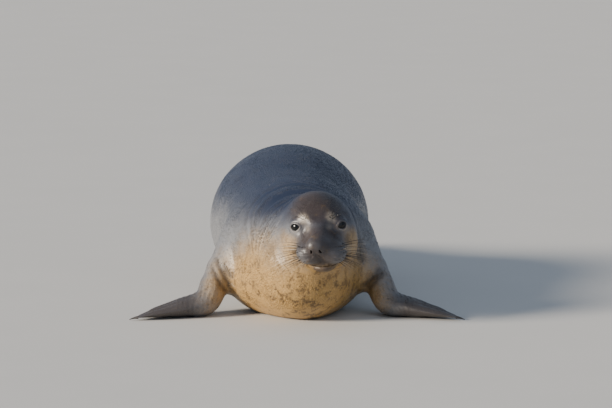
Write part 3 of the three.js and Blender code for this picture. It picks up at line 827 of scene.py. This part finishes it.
class Finish:
    """A material's node tree, built from one generic node method and a few short forms of it."""

    def __init__(self, name):
        self.material = bpy.data.materials.new(name)
        self.material.use_nodes = True
        self.tree = self.material.node_tree
        self.shader = self.tree.nodes["Principled BSDF"]

    def node(self, kind, settings=None, sockets=None, output=0):
        """A node of a kind. Settings are set first, then the values or links of its sockets."""
        node = self.tree.nodes.new(kind)
        for key, value in (settings or {}).items():
            setattr(node, key, value)
        self.fill(node, sockets or {})
        return Value(self, node.outputs[output])

    def fill(self, node, sockets):
        for key, value in sockets.items():
            socket = node.inputs[key]
            if isinstance(value, Value):
                self.tree.links.new(value.socket, socket)
            elif socket.type == "RGBA" and len(value) == 3:
                socket.default_value = (*value, 1)
            else:
                socket.default_value = value

    def place(self):
        """Places on the object itself."""
        return self.node("ShaderNodeTexCoord", output="Object")

    def stretched(self, scale):
        return self.node("ShaderNodeMapping", {}, {"Vector": self.place(), "Scale": scale})

    def noise(self, scale, detail, roughness, vector=None):
        sockets = {"Scale": scale, "Detail": detail, "Roughness": roughness}
        return self.node("ShaderNodeTexNoise", {}, {"Vector": vector or self.place(), **sockets})

    def mix(self, share, first, second):
        """A colour between two colours."""
        settings = {"data_type": "RGBA", "clamp_factor": True}
        return self.node("ShaderNodeMix", settings, {0: share, 6: first, 7: second}, 2)

    def shade(self, colour, share):
        """A colour multiplied by a value."""
        return self.node("ShaderNodeVectorMath", {"operation": "SCALE"}, {0: colour, "Scale": share})

    def masks(self, name):
        """The three masks of a colour attribute."""
        attribute = self.node("ShaderNodeAttribute", {"attribute_name": name})
        first = self.node("ShaderNodeSeparateColor", {}, {0: attribute})
        return [Value(self, output) for output in first.socket.node.outputs]

    def bump(self, height, distance):
        return self.node("ShaderNodeBump", {}, {"Height": height, "Distance": distance, "Strength": 1})

    def surface(self, **sockets):
        self.fill(self.shader, {name.replace("_", " "): value for name, value in sockets.items()})
        return self.material


def coat_finish(name, sizes, tufts):
    """Skin and coat: dark back tinted blue as a painted reflection of the sky, silver flanks, golden throat,
    dark crown and muzzle, pale round the eyes, painted shade in the creases and along the mouth, darker
    round the eyes' openings, broken up by mottling and by the streaks of short wet fur."""
    f = Finish(name)
    back, gold, face = f.masks("coat_tone")
    pale, crease, limb = f.masks("coat_marks")
    broad = f.noise(7.0, 3.0, 0.55)
    mottle = f.noise(34.0, 4.0, 0.6)
    speckle = f.noise(140.0, 3.0, 0.6)
    streak = f.noise(420.0, 2.0, 0.5, f.stretched((1, 0.12, 0.6)))
    edge = (broad - 0.5) * 0.5 + (mottle - 0.5) * 0.35 + (streak - 0.5) * 0.25
    # Dark back fur whose colour is tinted blue as a painted reflection of the sky
    tone = f.mix((back + edge).step(0.1, 0.95), sizes.flank_colour, sizes.back_and_sky_reflection_colour)
    tone = f.mix((gold + edge).step(0.2, 0.9), tone, sizes.throat_colour)
    patches = (mottle + (speckle - 0.5) * 0.6 + (broad - 0.5) * 0.3).step(0.5, 0.66) * (gold * 0.75)
    tone = f.mix(patches, tone, sizes.mottle_colour)
    tone = f.mix(limb, tone, sizes.flipper_colour)
    tone = f.mix((face + edge * face.power(0.5)).step(0.1, 0.95), tone, sizes.face_colour)
    tone = f.mix((pale + (mottle - 0.5) * pale).step(0.05, 1.0) * 0.8, tone, sizes.pale_colour)
    tone = f.mix((mottle * 0.6 + speckle * 0.5).step(0.58, 0.72) * face * 0.22, tone, sizes.throat_colour)
    # Real dark speckles of the crown and muzzle, in the colour of the painted crease shade
    tone = f.mix(speckle.step(0.52, 0.64) * face * 0.55, tone, sizes.crease_shade_and_speckle_colour)
    # Painted shade in the creases and along the mouth line, and darker round each eye's opening
    tone = f.mix(crease * 0.7, tone, sizes.crease_shade_and_speckle_colour)
    grain = (streak * 0.5 + speckle * 0.3 + 0.62) if tufts else (streak * 0.35 + speckle * 0.25 + 0.7)
    height = streak * 0.6 + speckle * 0.4
    return f.surface(
        Base_Color=f.shade(tone, grain),
        Roughness=(mottle * 0.2 + 0.33 + gold * 0.17).clamp(),
        Normal=f.bump(height, 0.0008 if tufts else 0.0014),
        Specular_IOR_Level=0.5,
        Coat_Weight=0.3,
        Coat_Roughness=0.33,
    )


def eye_finish(name):
    """A dark wet eye: black pupil, deep brown iris with fine rays, and a clear gloss over both."""
    f = Finish(name)
    off, turn, _ = f.masks("eye_place")
    rays = f.node("ShaderNodeCombineXYZ", {}, {0: turn * 60.0, 1: off * 4.0})
    fibre = f.noise(1.0, 2.0, 0.5, rays)
    iris = f.mix(fibre, (0.010, 0.006, 0.004), (0.045, 0.026, 0.014))
    colour = f.mix(off.step(0.16, 0.2), (0.001, 0.001, 0.001), iris)
    colour = f.mix(off.step(0.34, 0.42), colour, (0.03, 0.022, 0.02))
    return f.surface(Base_Color=colour, Roughness=0.06, Coat_Weight=0.3, Coat_Roughness=0.02, IOR=1.34)


def horn_finish(name, sizes):
    """Dark horn with growth lines across it and paler worn patches here and there."""
    f = Finish(name)
    lines = f.noise(260.0, 2.0, 0.6, f.stretched((1, 1, 3)))
    worn = f.noise(60.0, 3.0, 0.5)
    colour = f.mix(worn.step(0.45, 0.75), sizes.claw_colour, (0.09, 0.07, 0.055))
    return f.surface(
        Base_Color=f.shade(colour, lines * 0.5 + 0.75),
        Roughness=lines * 0.2 + 0.26,
        Normal=f.bump(lines, 0.0003),
    )


def plain_finish(name, colour, noise, tint, roughness):
    """One colour, a little lighter and darker from place to place."""
    f = Finish(name)
    light = f.noise(*noise) * tint + (1 - tint / 2)
    return f.surface(Base_Color=f.shade(colour, light), Roughness=roughness)


# Pieces


def finish_piece(thing, material, slot, nodes):
    """Gives a piece its material, its body and the nodes that it stands for. The slot is not used."""
    thing.data.materials.clear()
    thing.data.materials.append(material)
    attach(thing, "root")
    if nodes:
        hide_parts(*nodes)


def head_and_trunk(inset):
    """The two grids of the body: a fine one to the back of the skull, a coarser one behind it."""
    head_rows = [fan_rows("snout", 0, 90, FAN_ROWS)] + [run_rows(*run) for run in HEAD_RUNS]
    trunk_rows = [run_rows(*run) for run in TRUNK_RUNS] + [fan_rows("rump", 90, 180, REAR_FAN_ROWS)[1:]]
    head = cast_rows(np.vstack(head_rows)[1:], HEAD_COLUMNS, inset)
    trunk = cast_rows(np.vstack(trunk_rows)[:-1], TRUNK_COLUMNS, inset)
    ends = ("snout", 0, 0, 1), ("rump", 180, 180, 1)
    return head, trunk, [cast_rows(fan_rows(*end), 1, inset)[0, 0] for end in ends]


def body_object(head, trunk, poles):
    """One closed surface of both grids. Where they meet, two fine columns pass into one coarse one."""
    points = np.vstack([poles[0], head.reshape(-1, 3), trunk.reshape(-1, 3), poles[1]])
    base = 1 + head.shape[0] * HEAD_COLUMNS
    fine = base - HEAD_COLUMNS + np.arange(HEAD_COLUMNS)
    coarse = base + np.arange(TRUNK_COLUMNS)
    even, odd, following = fine[0::2], fine[1::2], np.roll(fine[0::2], -1)
    after = np.roll(coarse, -1)
    join = np.hstack([[even, coarse, odd], [coarse, after, odd], [odd, after, following]]).T
    last = base + (trunk.shape[0] - 1) * TRUNK_COLUMNS + np.arange(TRUNK_COLUMNS)
    faces = [
        pole_faces(1 + np.arange(HEAD_COLUMNS), 0, False), grid_quads(head.shape[0], HEAD_COLUMNS, 1), join,
        grid_quads(trunk.shape[0], TRUNK_COLUMNS, base), pole_faces(last, len(points) - 1, True),
    ]
    return new_object("skin", points, faces)


def eye_frame(side):
    """Centre of an eye and its axes: to the side, the way it looks, and up, in the head's own frame."""
    look = unit(np.multiply(EYE["look"], [side, 1, 1]))
    across = unit(np.cross(look, [0, 0, 1]))
    return np.multiply(EYE["at"], [side, 1, 1]), across, look, np.cross(across, look)


def open_sockets(head):
    """Draws the skin in behind each eyeball, where the lids cover it."""
    for side in SIDES.values():
        centre, _, look, _ = eye_frame(side)
        centre, look = straight_from_head(centre), look @ HEAD_TURN.T
        away = head - centre
        reach = norm(away)
        angle = np.degrees(np.arccos(np.clip(away @ look / reach, -1, 1)))
        share = (1 - smooth((angle - SOCKET["open"]) / SOCKET["fade"])) * (reach < SOCKET["near"])
        head = centre + away * (between((reach, SOCKET["deep"]), share) / reach)[..., None]
    return head


def lid_ring(side, inset):
    """Both lids of an eye as one closed ring. Round the eye's look, the opening is a superellipse. The
    cross-section runs in over the skin, round the lid's edge and back inside the eye."""
    centre, *axes = eye_frame(side)
    radius = EYE["radius"]
    turn = circle(112)[:, None]
    tilted = turn + math.radians(LIDS["tilt"])
    power = LIDS["power"]
    lens = np.abs(np.cos(tilted) / LIDS["half_wide"]) ** power
    lens += np.abs(np.sin(tilted) / LIDS["half_high"]) ** power
    start = np.degrees(np.arcsin(lens ** (-1 / power) / radius))
    crest = start + LIDS["crest"]
    share = np.linspace(1, 0, 16)[None] ** 1.2
    angle = between((crest, LIDS["edge"]), share)
    way = spherical(np.radians(angle), turn, *axes) @ HEAD_TURN.T
    origin = np.broadcast_to(straight_from_head(centre), way.shape)
    found = cast(origin.reshape(-1, 3), way.reshape(-1, 3), inset).reshape(way.shape)
    reach = norm(found - origin)
    depth, place = (np.where(np.sin(turn) > 0, *LIDS[key]) for key in ("fold", "fold_at"))
    fold = depth * bell((angle - start - place) / 3.2)
    reach += 0.45 * np.sin(np.pi * np.clip(share * 1.15, 0, 1)) - 1.6 * smooth((share - 0.85) / 0.15) - fold
    reach = np.maximum(reach, radius + LIDS["over_eye"])
    rim = np.linspace(0, np.pi / 2, 5)[None, 1:]
    rim_angle = crest - LIDS["crest"] * np.sin(rim)
    rim_reach = between((radius - LIDS["under_edge"], reach[:, -1:]), np.cos(rim))
    back_angle = start + [[6, 26]]
    angles = np.hstack([angle, rim_angle, back_angle])
    reaches = np.hstack([reach, rim_reach, np.full_like(back_angle, radius - 3)])
    return straight_from_head(centre + reaches[..., None] * spherical(np.radians(angles), turn, *axes))


def spherical(angle, turn, across, look, up):
    """Unit directions at an angle from the look and a turn round it from "across"."""
    local = vectors(np.sin(angle) * np.cos(turn), np.cos(angle), np.sin(angle) * np.sin(turn))
    return local @ [across, look, up]


def ring_object(name, grid):
    """A closed ring: a grid whose rows and columns both close up."""
    a = np.arange(grid[..., 0].size).reshape(grid.shape[:2])
    b = np.roll(a, -1, axis=0)
    return new_object(name, grid, [vectors(a, np.roll(a, -1, 1), np.roll(b, -1, 1), b).reshape(-1, 4)])


def mouth_slit():
    """A thin curved slab along the line of the mouth, from ahead of the lips to the mouth's corners."""
    ys = np.linspace(MOUTH["line"][0][0], MOUTH["line"][2][0], 24)
    edge = vectors(ys, mouth_height(ys))
    outline = np.vstack([edge, edge[::-1] - [0, MOUTH["gap"]]])
    rings = [np.insert(outline, 0, x, axis=1) for x in (-MOUTH["half_wide"], MOUTH["half_wide"])]
    return tube_object("mouth_slit", [capped(straight_from_head(rings))])


def nostril_hole(side):
    """A curved slit that narrows inwards: an ellipse, bent sideways by the square of its height."""
    x, y, z = NOSTRIL["at"]
    turn = circle(28)
    depth = np.linspace(-1, 1, 12)[:, None]
    shrink = 1 - np.where(depth > 0, 0.6, -0.35) * depth**2
    high = NOSTRIL["half_high"] * np.sin(turn) * shrink
    wide = NOSTRIL["half_wide"] * np.cos(turn) * shrink + side * 0.03 * high**2
    local = vectors(wide, NOSTRIL["deep"] * depth, high)
    local = local @ axis_turn(1, -side * NOSTRIL["slant"] - NOSTRIL["roll"]).T
    local = local @ axis_turn(2, -side * NOSTRIL["splay"]).T
    return tube_object("nostril", [capped(straight_from_head(local + [side * x + slide(y, z), y, z]))])


def tail_object():
    """A short flat tail: ellipses that shrink along its line, rounded off at the end."""
    t = np.linspace(0, 1, 26)[:, None]
    turn = circle(32)[None]
    end = np.sqrt(1 - (t * 0.998) ** (2 * TAIL["round"]))
    wide, thick = ((between(TAIL[key], t) - 1) * end for key in ("wide", "thick"))
    y, z = (between(pair, t) for pair in zip(TAIL["from"], TAIL["to"]))
    grid = vectors(REAR["to"][0] + wide * np.cos(turn), y, z + thick * np.sin(turn))
    return tube_object("tail", [capped(grid)])


def make_skin(sizes):
    """Body, limbs, tail and lids in one closed surface, with the mouth and nostrils cut into it."""
    inset = sizes.coat_depth / MM
    head, trunk, poles = head_and_trunk(inset)
    SHAPES["head"], SHAPES["trunk"] = open_sockets(head), trunk
    skin = body_object(SHAPES["head"], trunk, poles)
    parts = [tail_object()]
    for name, side in SIDES.items():
        parts.append(ring_object(f"lids_{name}", lid_ring(side, inset)))
        for kind, form in (("fore", FORE), ("hind", HIND)):
            limb = limb_of(form, side)
            SHAPES[f"{kind}_{name}"] = grid = limb_grid(limb)
            parts.append(closed_limb(f"{kind}_{name}_limb", grid, limb_frame(limb, np.zeros(1))[0][0]))
    combine(skin, parts, "UNION")
    combine(skin, [mouth_slit(), nostril_hole(1), nostril_hole(-1)], "DIFFERENCE")
    mesh = skin.data
    p = values_of(mesh.vertices, "co") / MM
    p += values_of(mesh.vertex_normals, "vector") * relief(p)[:, None]
    p[:, 2] = np.maximum(p[:, 2], FLOOR_GAP / 2)
    mesh.vertices.foreach_set("co", (p * MM).ravel())
    mesh.shade_smooth()
    mark(mesh, p)
    finish_piece(skin, coat_finish("short_fur", sizes, False), "skin_flank", FLESH)


def closed_limb(name, grid, root):
    """A limb whose tip is drawn together into an edge: top and bottom share its points."""
    tip, grid = grid[-1], grid[:-1]
    edge = (tip + np.roll(tip[::-1], 1, axis=0)) / 2
    rows, columns = grid.shape[:2]
    ring = np.arange(columns)
    last = 1 + (rows - 1) * columns + ring
    shared = 1 + rows * columns + np.minimum(ring, columns - ring)
    after, shared_after = np.roll(last, -1), np.roll(shared, -1)
    closing = np.hstack([[last, shared, shared_after], [last, shared_after, after]]).T
    points = np.vstack([root, grid.reshape(-1, 3), edge[:columns // 2 + 1]])
    return new_object(name, points, [grid_quads(rows, columns, 1), closing, pole_faces(1 + ring, 0, False)])


def make_eyes():
    """Eyeballs: a sphere with a slightly raised cornea."""
    material = eye_finish("wet_eye")
    off = np.linspace(0, np.pi, 49)[1:-1, None]
    share = np.arange(72)[None] / 72
    radius = EYE["radius"] + 0.5 * bell(off / 0.5) - 0.4
    masks = np.ones((off.size * share.size + 2, 3))
    masks[1:-1, 0] = (off / np.pi + 0 * share).ravel()
    masks[1:-1, 1] = (share + 0 * off).ravel()
    masks[0, :2] = 0
    for name, side in SIDES.items():
        centre, *axes = eye_frame(side)
        local = radius[..., None] * spherical(off, 2 * np.pi * share * side, *axes)
        ends = [centre + axes[1] * (EYE["radius"] + sign * 0.1) * sign for sign in (1, -1)]
        tube = [straight_from_head(part) for part in (centre + local, *ends)]
        eye = tube_object(f"eyeball_{name}", [tube])
        store(eye.data, "eye_place", masks)
        finish_piece(eye, material, "eye", [f"eye_{name}"])


def make_claws(sizes):
    """Horns that bend down over the ends of the digits, on each fore flipper."""
    material = horn_finish("dark_horn", sizes)
    count = len(FORE["digits"])
    t = np.linspace(0, 1, 13)[:, None]
    radius = CLAW["root"] * (1 - 0.85 * t**1.3)
    for name, side in SIDES.items():
        limb = limb_of(FORE, side)
        around = circle(12)[None] * side
        tubes = []
        for u in (np.arange(count) + 0.5) / count * 2 - 1:
            tip = limb_points(dict(limb, blunt=60), np.array([0.99]), np.array([math.acos(u) * side]))[0]
            along = unit(limb_frame(limb, 0.93 * digit_reach(limb, np.array([u])))[1][0] * [1, 1, 0])
            centre = tip + along * CLAW["length"] * (t - 0.55)
            centre[:, 2] = (CLAW["lift"] * (1 - t * t) + CLAW["tip_height"])[:, 0]
            across = np.array([-along[1], along[0], 0]) * side
            grid = (
                centre[:, None]
                + (radius * 0.8 * np.cos(around))[..., None] * across
                + (radius * np.sin(around))[..., None] * [0, 0, 1]
            )
            start, end = grid[0].mean(0), grid[-1].mean(0) + along * 0.5
            tubes.append((grid[:, ::-1], start, end))
        nodes = [f"fore_flipper_{name}_claw_{digit + 1}" for digit in range(count)]
        finish_piece(tube_object(f"claws_{name}", tubes), material, "claw", nodes)


def spines(name, root, way, length, radius, droop):
    """Thin tapered tubes from their roots, drawn in to a point: each bends back and down by the square
    of its share of the length. They start a little under the skin."""
    t = np.linspace(0, 1, 10)[None, :, None]
    length = length[:, None, None]
    bend = [0, WHISKERS["sweep"], 0] * length + [0, 0, -droop] * (length / WHISKERS["longest"]) ** 2
    line = (root - way * WHISKERS["sunk"])[:, None] + way[:, None] * length * t + bend * t**2
    across = unit(np.cross(way, [0, 0, 1]))
    turn = circle(5)[:, None]
    ring = np.cos(turn) * across[:, None] + np.sin(turn) * np.cross(across, way)[:, None]
    wide = radius * (0.12 + 0.88 * (1 - t) ** 0.8)
    grids = line[:, :, None] + ring[:, None] * wide[..., None]
    return tube_object(name, [(grid, middle[0], middle[-1]) for grid, middle in zip(grids, line)])


def on_skin(at, side, ray):
    """Where rays from one place inside the head meet the skin."""
    origin = np.broadcast_to(from_head(np.multiply(at, [side, 1, 1])), ray.shape)
    return cast(origin, ray @ HEAD_TURN.T, 0.8)


def pad_roots(side, draw):
    """Roots of the muzzle's whiskers, the way each leaves and its length, in the whole seal's frame.
    Rows and columns of directions from inside the pad meet the skin there."""
    columns, rows = np.meshgrid(np.linspace(0, 1, PAD["columns"]), np.linspace(0, 1, PAD["rows"]))
    columns = (columns + 0.09 * (rows * PAD["rows"] % 2)).ravel() + draw.normal(0, 0.02, columns.size)
    rows = rows.ravel() + draw.normal(0, 0.02, rows.size)
    turn = np.radians(between(PAD["turns"], columns))
    tilt = np.radians(between(PAD["tilts"], rows))
    ray = vectors(side * np.sin(turn) * np.cos(tilt), -np.cos(turn) * np.cos(tilt), np.sin(tilt))
    way = unit(ray * [1, 0.75, 0.5] + [side * 0.25, 0.1, -0.06] + draw.normal(0, 0.07, ray.shape))
    length = between((WHISKERS["shortest"], WHISKERS["longest"]), np.clip(columns, 0, 1) ** 0.8)
    return on_skin(PAD["at"], side, ray), way @ HEAD_TURN.T, length * draw.uniform(0.75, 1, len(length))


def brow_roots(side, draw):
    """The same of the brow whiskers over one eye."""
    fan = np.linspace(-1, 1, BROW["count"])
    ray = unit(vectors(side * (0.25 + 0.18 * fan), -0.4 + 0.2 * np.cos(fan * 4), 0.85))
    way = unit(ray * [1, 1, 0.9] + vectors(side * 0.35 * (fan + 0.3), -0.25, 0))
    length = draw.uniform(BROW["shortest"], BROW["longest"], len(fan))
    return on_skin(BROW["from"], side, ray), way @ HEAD_TURN.T, length


def make_whiskers(sizes):
    """Dark and pale whiskers of the muzzle, whiskers of the brow, and a dark bulb round each root."""
    draw = np.random.default_rng(SEED)
    pads, brows = (
        [np.concatenate(parts) for parts in zip(roots(1, draw), roots(-1, draw))]
        for roots in (pad_roots, brow_roots)
    )
    pale = draw.random(len(pads[0])) < WHISKERS["pale"]
    roots, ways = (np.concatenate([pads[i], brows[i]]) for i in (0, 1))
    bulbs = roots, ways, np.full(len(roots), BULB["length"])
    noise = 220.0, 2.0, 0.5
    dark_finish = plain_finish("dark_whisker", sizes.whisker_colour, noise, 0.6, 0.32)
    pale_finish = plain_finish("pale_whisker", sizes.pale_whisker_colour, noise, 0.6, 0.32)
    for name, parts, radius, droop, material in (
        ("whiskers_dark", [part[~pale] for part in pads], WHISKERS["root"], WHISKERS["droop"], dark_finish),
        ("whiskers_pale", [part[pale] for part in pads], WHISKERS["root"], WHISKERS["droop"], pale_finish),
        ("brow_whiskers", brows, BROW["root"], WHISKERS["droop"] / 2, dark_finish),
        ("whisker_bulbs", bulbs, BULB["root"], 0, dark_finish),
    ):
        finish_piece(spines(name, *parts, radius, droop), material, "claw", [])


def tuft_faces():
    faces = [(0, 1, 2)]
    for i, j in ((0, 1), (1, 2), (2, 0)):
        faces += [(j, i, 3 + i), (j, 3 + i, 3 + j), (3 + j, 3 + i, 6)]
    return np.array(faces)


def bare(p, normal, kind):
    """Where no tuft grows: on the floor, round the eyes, on the lips and the nose, inside the body."""
    skip = (p[:, 2] < 5) | (normal[:, 2] < -0.7)
    if kind != "head":
        return skip | ((kind != "trunk") & (body_distance(p) < -2.2))
    own = to_head(p)
    side = both_sides(own)
    wide, ahead, _ = off_look(side)
    lips = (np.abs(own[:, 2] - mouth_height(own[:, 1])) < 4) & (own[:, 1] < 108)
    return skip | ((wide < 21) & (ahead > -8)) | lips | (region(side, *PATCHES["nostrils"]) > 0.5)


def scatter(kind, rows, count, draw):
    """Seeded places on a grid of the skin, even over its area: point, normal, the way its rows run
    from nose to tail or from root to tip, and its shares of the columns and rows."""
    grid = SHAPES[kind]
    low, high = (int(share * (len(grid) - 1)) for share in rows)
    face = np.cross(grid[1:] - grid[:-1], (np.roll(grid, -1, axis=1) - grid)[:-1])
    normal = grid_normals(grid)
    if np.mean(np.sum(normal * (grid - grid.mean(axis=1, keepdims=True)), -1)) < 0:
        normal = -normal
    area = norm(face)[low:high]
    cell = draw.choice(area.size, count, p=area.ravel() / area.sum())
    i, j = np.divmod(cell, grid.shape[1])
    i += low
    a, b = draw.random((2, count, 1))
    following = (j + 1) % grid.shape[1]

    def blend(values):
        return between([between((values[i, k], values[i + 1, k]), a) for k in (j, following)], b)

    step = between([grid[i + 1, k] - grid[i, k] for k in (j, following)], b)
    shares = np.hstack([(j[:, None] + b) / grid.shape[1], (i[:, None] + a) / len(grid)])
    return blend(grid), blend(normal), step, shares


def tuft_object(name, p, normal, step, shares, length, draw):
    """Flat closed tufts as one mesh, with a patch of the OFBake map at each root's own place."""
    normal = unit(normal)
    along = unit(step - normal * np.sum(step * normal, -1, keepdims=True))
    lean = (0.3 * waves(p, 130, 50, SEED + 1) + draw.normal(0, 0.12, len(p)))[:, None]
    along = along * np.cos(lean) + np.cross(normal, along) * np.sin(lean)
    root = p + normal * (relief(p) - TUFT["sunk"])[:, None]
    size = (length * draw.uniform(0.75, 1.2, len(p)))[:, None, None]
    far, aside, up = np.moveaxis(np.array(TUFT_POINTS)[None, ..., None], 2, 0)
    points = (
        root[:, None]
        + along[:, None] * (far * size)
        + np.cross(normal, along)[:, None] * (aside * size * TUFT["half_wide"])
        + normal[:, None] * (up * (TUFT["high"] + size * TUFT["higher"]))
    )
    faces = (tuft_faces()[None] + 7 * np.arange(len(p))[:, None, None]).reshape(-1, 3)
    mesh = bpy.data.meshes.new(name)
    mesh.vertices.add(points.size // 3)
    mesh.vertices.foreach_set("co", (points * MM).ravel())
    mesh.loops.add(faces.size)
    mesh.loops.foreach_set("vertex_index", faces.ravel().astype(np.int32))
    mesh.polygons.add(len(faces))
    mesh.polygons.foreach_set("loop_start", np.arange(0, faces.size, 3, dtype=np.int32))
    mesh.update(calc_edges=True)
    mesh.shade_smooth()
    patch = (shares[:, None] + np.array(TUFT_PATCH) * TUFT["patch"]).reshape(-1, 2)
    corners = patch[faces.ravel()].astype(np.float32)
    mesh.uv_layers.new(name="OFBake").uv.foreach_set("vector", corners.ravel())
    mark(mesh, root, len(TUFT_POINTS))
    return link(name, mesh)


def make_coat(sizes):
    """Tufts of short fur that lie along the body, over the skin."""
    material = coat_finish("fur_tufts", sizes, True)
    for order, (name, slot, kinds, rows, length) in enumerate(TUFT_PIECES):
        draw = np.random.default_rng(SEED + 10 + order)
        parts = []
        for place, kind in enumerate(kinds):
            p, normal, step, shares = scatter(kind, rows, TUFTS // len(kinds), draw)
            shares[:, 0] = (shares[:, 0] + place) / len(kinds)
            size = np.full(len(p), float(length))
            if kind == "head":
                size *= 0.5 + 0.5 * smooth((to_head(p)[:, 1] - 20) / 120)
            keep = ~bare(p, normal, kind)
            parts.append([part[keep] for part in (p, normal, step, shares, size)])
        tufts = (np.concatenate(part) for part in zip(*parts))
        finish_piece(tuft_object(name, *tufts, draw), material, slot, [])


def make_stage(sizes):
    """A plain pale floor, soft studio light from the left, and the camera."""
    floor = new_object("floor", np.array(FLOOR) / MM, [np.array([[0, 1, 2, 3]])])
    floor.data.materials.append(plain_finish("pale_floor", sizes.floor_colour, (3.0, 3.0, 0.5), 0.06, 0.7))
    world = bpy.data.worlds.new("studio")
    world.use_nodes = True
    for key, value in SKY.items():
        world.node_tree.nodes["Background"].inputs[key].default_value = value
    scene = bpy.context.scene
    scene.world = world
    for name, place, strength, spread, tint in LIGHTS:
        light = bpy.data.lights.new(name, "SUN")
        light.energy = strength
        light.angle = math.radians(spread)
        light.color = tint
        lamp = link(name, light)
        lamp.location = place
        lamp.rotation_euler = aim(place, (0, 0, 0.2))
    camera = bpy.data.cameras.new("camera")
    camera.lens = CAMERA["lens"]
    camera.clip_end = CAMERA["far"]
    scene.camera = link("camera", camera)
    scene.camera.location = CAMERA["at"]
    scene.camera.rotation_euler = (math.radians(90 - CAMERA["down"]), 0, math.radians(CAMERA["left"]))


def aim(place, target):
    """Turn of a lamp at a place so that it shines at a target."""
    x, y, z = (b - a for a, b in zip(place, target))
    return math.pi / 2 + math.atan2(z, math.hypot(x, y)), 0, math.atan2(y, x) - math.pi / 2


# The add-on


def length(name, description, default):
    return bpy.props.FloatProperty(
        name=name, description=description, default=default, unit="LENGTH", precision=4
    )


def colour(name, description, code):
    """A colour property. The code is an ordinary screen colour, turned into linear light."""
    parts = [int(code[i:i + 2], 16) / 255 for i in (1, 3, 5)]
    linear = tuple(((v + 0.055) / 1.055) ** 2.4 if v > 0.04045 else v / 12.92 for v in parts)
    return bpy.props.FloatVectorProperty(
        name=name, description=description, default=linear, size=3, subtype="COLOR"
    )


class SealSizes(bpy.types.PropertyGroup):
    coat_depth: length("Coat depth", "How far the skin lies inside the solids", 0.0025)
    # The back's own dark fur, tinted blue as a painted reflection of the sky
    back_and_sky_reflection_colour: colour("Back", "Wet fur along the back", "#1d273d")
    flank_colour: colour("Flank", "Silver fur of the sides", "#76777a")
    throat_colour: colour("Throat", "Golden fur of the throat and chest", "#b38f55")
    mottle_colour: colour("Mottling", "Dark spots of the throat", "#46331f")
    face_colour: colour("Face", "Crown and muzzle", "#342a28")
    pale_colour: colour("Eye patches", "Pale fur round the eyes", "#bcae9c")
    # Painted shade of the creases and the mouth line, also drawn darker round each eye's opening, and the
    # real dark speckles of the face
    crease_shade_and_speckle_colour: colour("Creases", "Bare skin down in the creases", "#2a2523")
    flipper_colour: colour("Flippers", "Fur of the flippers", "#423c3a")
    claw_colour: colour("Claws", "Dark horn", "#2b2622")
    whisker_colour: colour("Whiskers", "Dark whiskers of muzzle and brow", "#1d1815")
    pale_whisker_colour: colour("Pale whiskers", "Pale whiskers among the dark ones", "#a99a84")
    floor_colour: colour("Floor", "Studio floor", "#cfcdc8")


class SkinOperator(bpy.types.Operator):
    """Make the skin of head, body and flippers"""

    bl_idname = "seal.skin"
    bl_label = "Skin"

    def execute(self, context):
        make_skin(context.scene.seal_sizes)
        return {"FINISHED"}


class EyesOperator(bpy.types.Operator):
    """Make the eyeballs"""

    bl_idname = "seal.eyes"
    bl_label = "Eyes"

    def execute(self, context):
        make_eyes()
        return {"FINISHED"}


class ClawsOperator(bpy.types.Operator):
    """Make the claws of the fore flippers"""

    bl_idname = "seal.claws"
    bl_label = "Claws"

    def execute(self, context):
        make_claws(context.scene.seal_sizes)
        return {"FINISHED"}


class CoatOperator(bpy.types.Operator):
    """Make the tufts of short fur"""

    bl_idname = "seal.coat"
    bl_label = "Coat"

    def execute(self, context):
        make_coat(context.scene.seal_sizes)
        return {"FINISHED"}


class WhiskersOperator(bpy.types.Operator):
    """Make the whiskers of muzzle and brow"""

    bl_idname = "seal.whiskers"
    bl_label = "Whiskers"

    def execute(self, context):
        make_whiskers(context.scene.seal_sizes)
        return {"FINISHED"}


class StageOperator(bpy.types.Operator):
    """Make the floor, the lights and the camera"""

    bl_idname = "seal.stage"
    bl_label = "Stage"

    def execute(self, context):
        make_stage(context.scene.seal_sizes)
        return {"FINISHED"}


OPERATORS = (SkinOperator, EyesOperator, ClawsOperator, CoatOperator, WhiskersOperator, StageOperator)


class SealPanel(bpy.types.Panel):
    """Lists the steps that make the seal"""

    bl_idname = "VIEW3D_PT_seal"
    bl_label = "Elephant Seal"
    bl_space_type = "VIEW_3D"
    bl_region_type = "UI"
    bl_category = "Seal"

    def draw(self, context):
        for operator in OPERATORS:
            self.layout.operator(operator.bl_idname)
        for key in SealSizes.__annotations__:
            self.layout.prop(context.scene.seal_sizes, key)


CLASSES = (SealSizes, *OPERATORS, SealPanel)


def register():
    for each in CLASSES:
        bpy.utils.register_class(each)
    bpy.types.Scene.seal_sizes = bpy.props.PointerProperty(type=SealSizes)


def unregister():
    del bpy.types.Scene.seal_sizes
    for each in reversed(CLASSES):
        bpy.utils.unregister_class(each)


def main():
    register()
    bpy.ops.seal.skin()
    bpy.ops.seal.eyes()
    bpy.ops.seal.claws()
    bpy.ops.seal.coat()
    bpy.ops.seal.whiskers()
    bpy.ops.seal.stage()


if __name__ == "__main__":
    main()
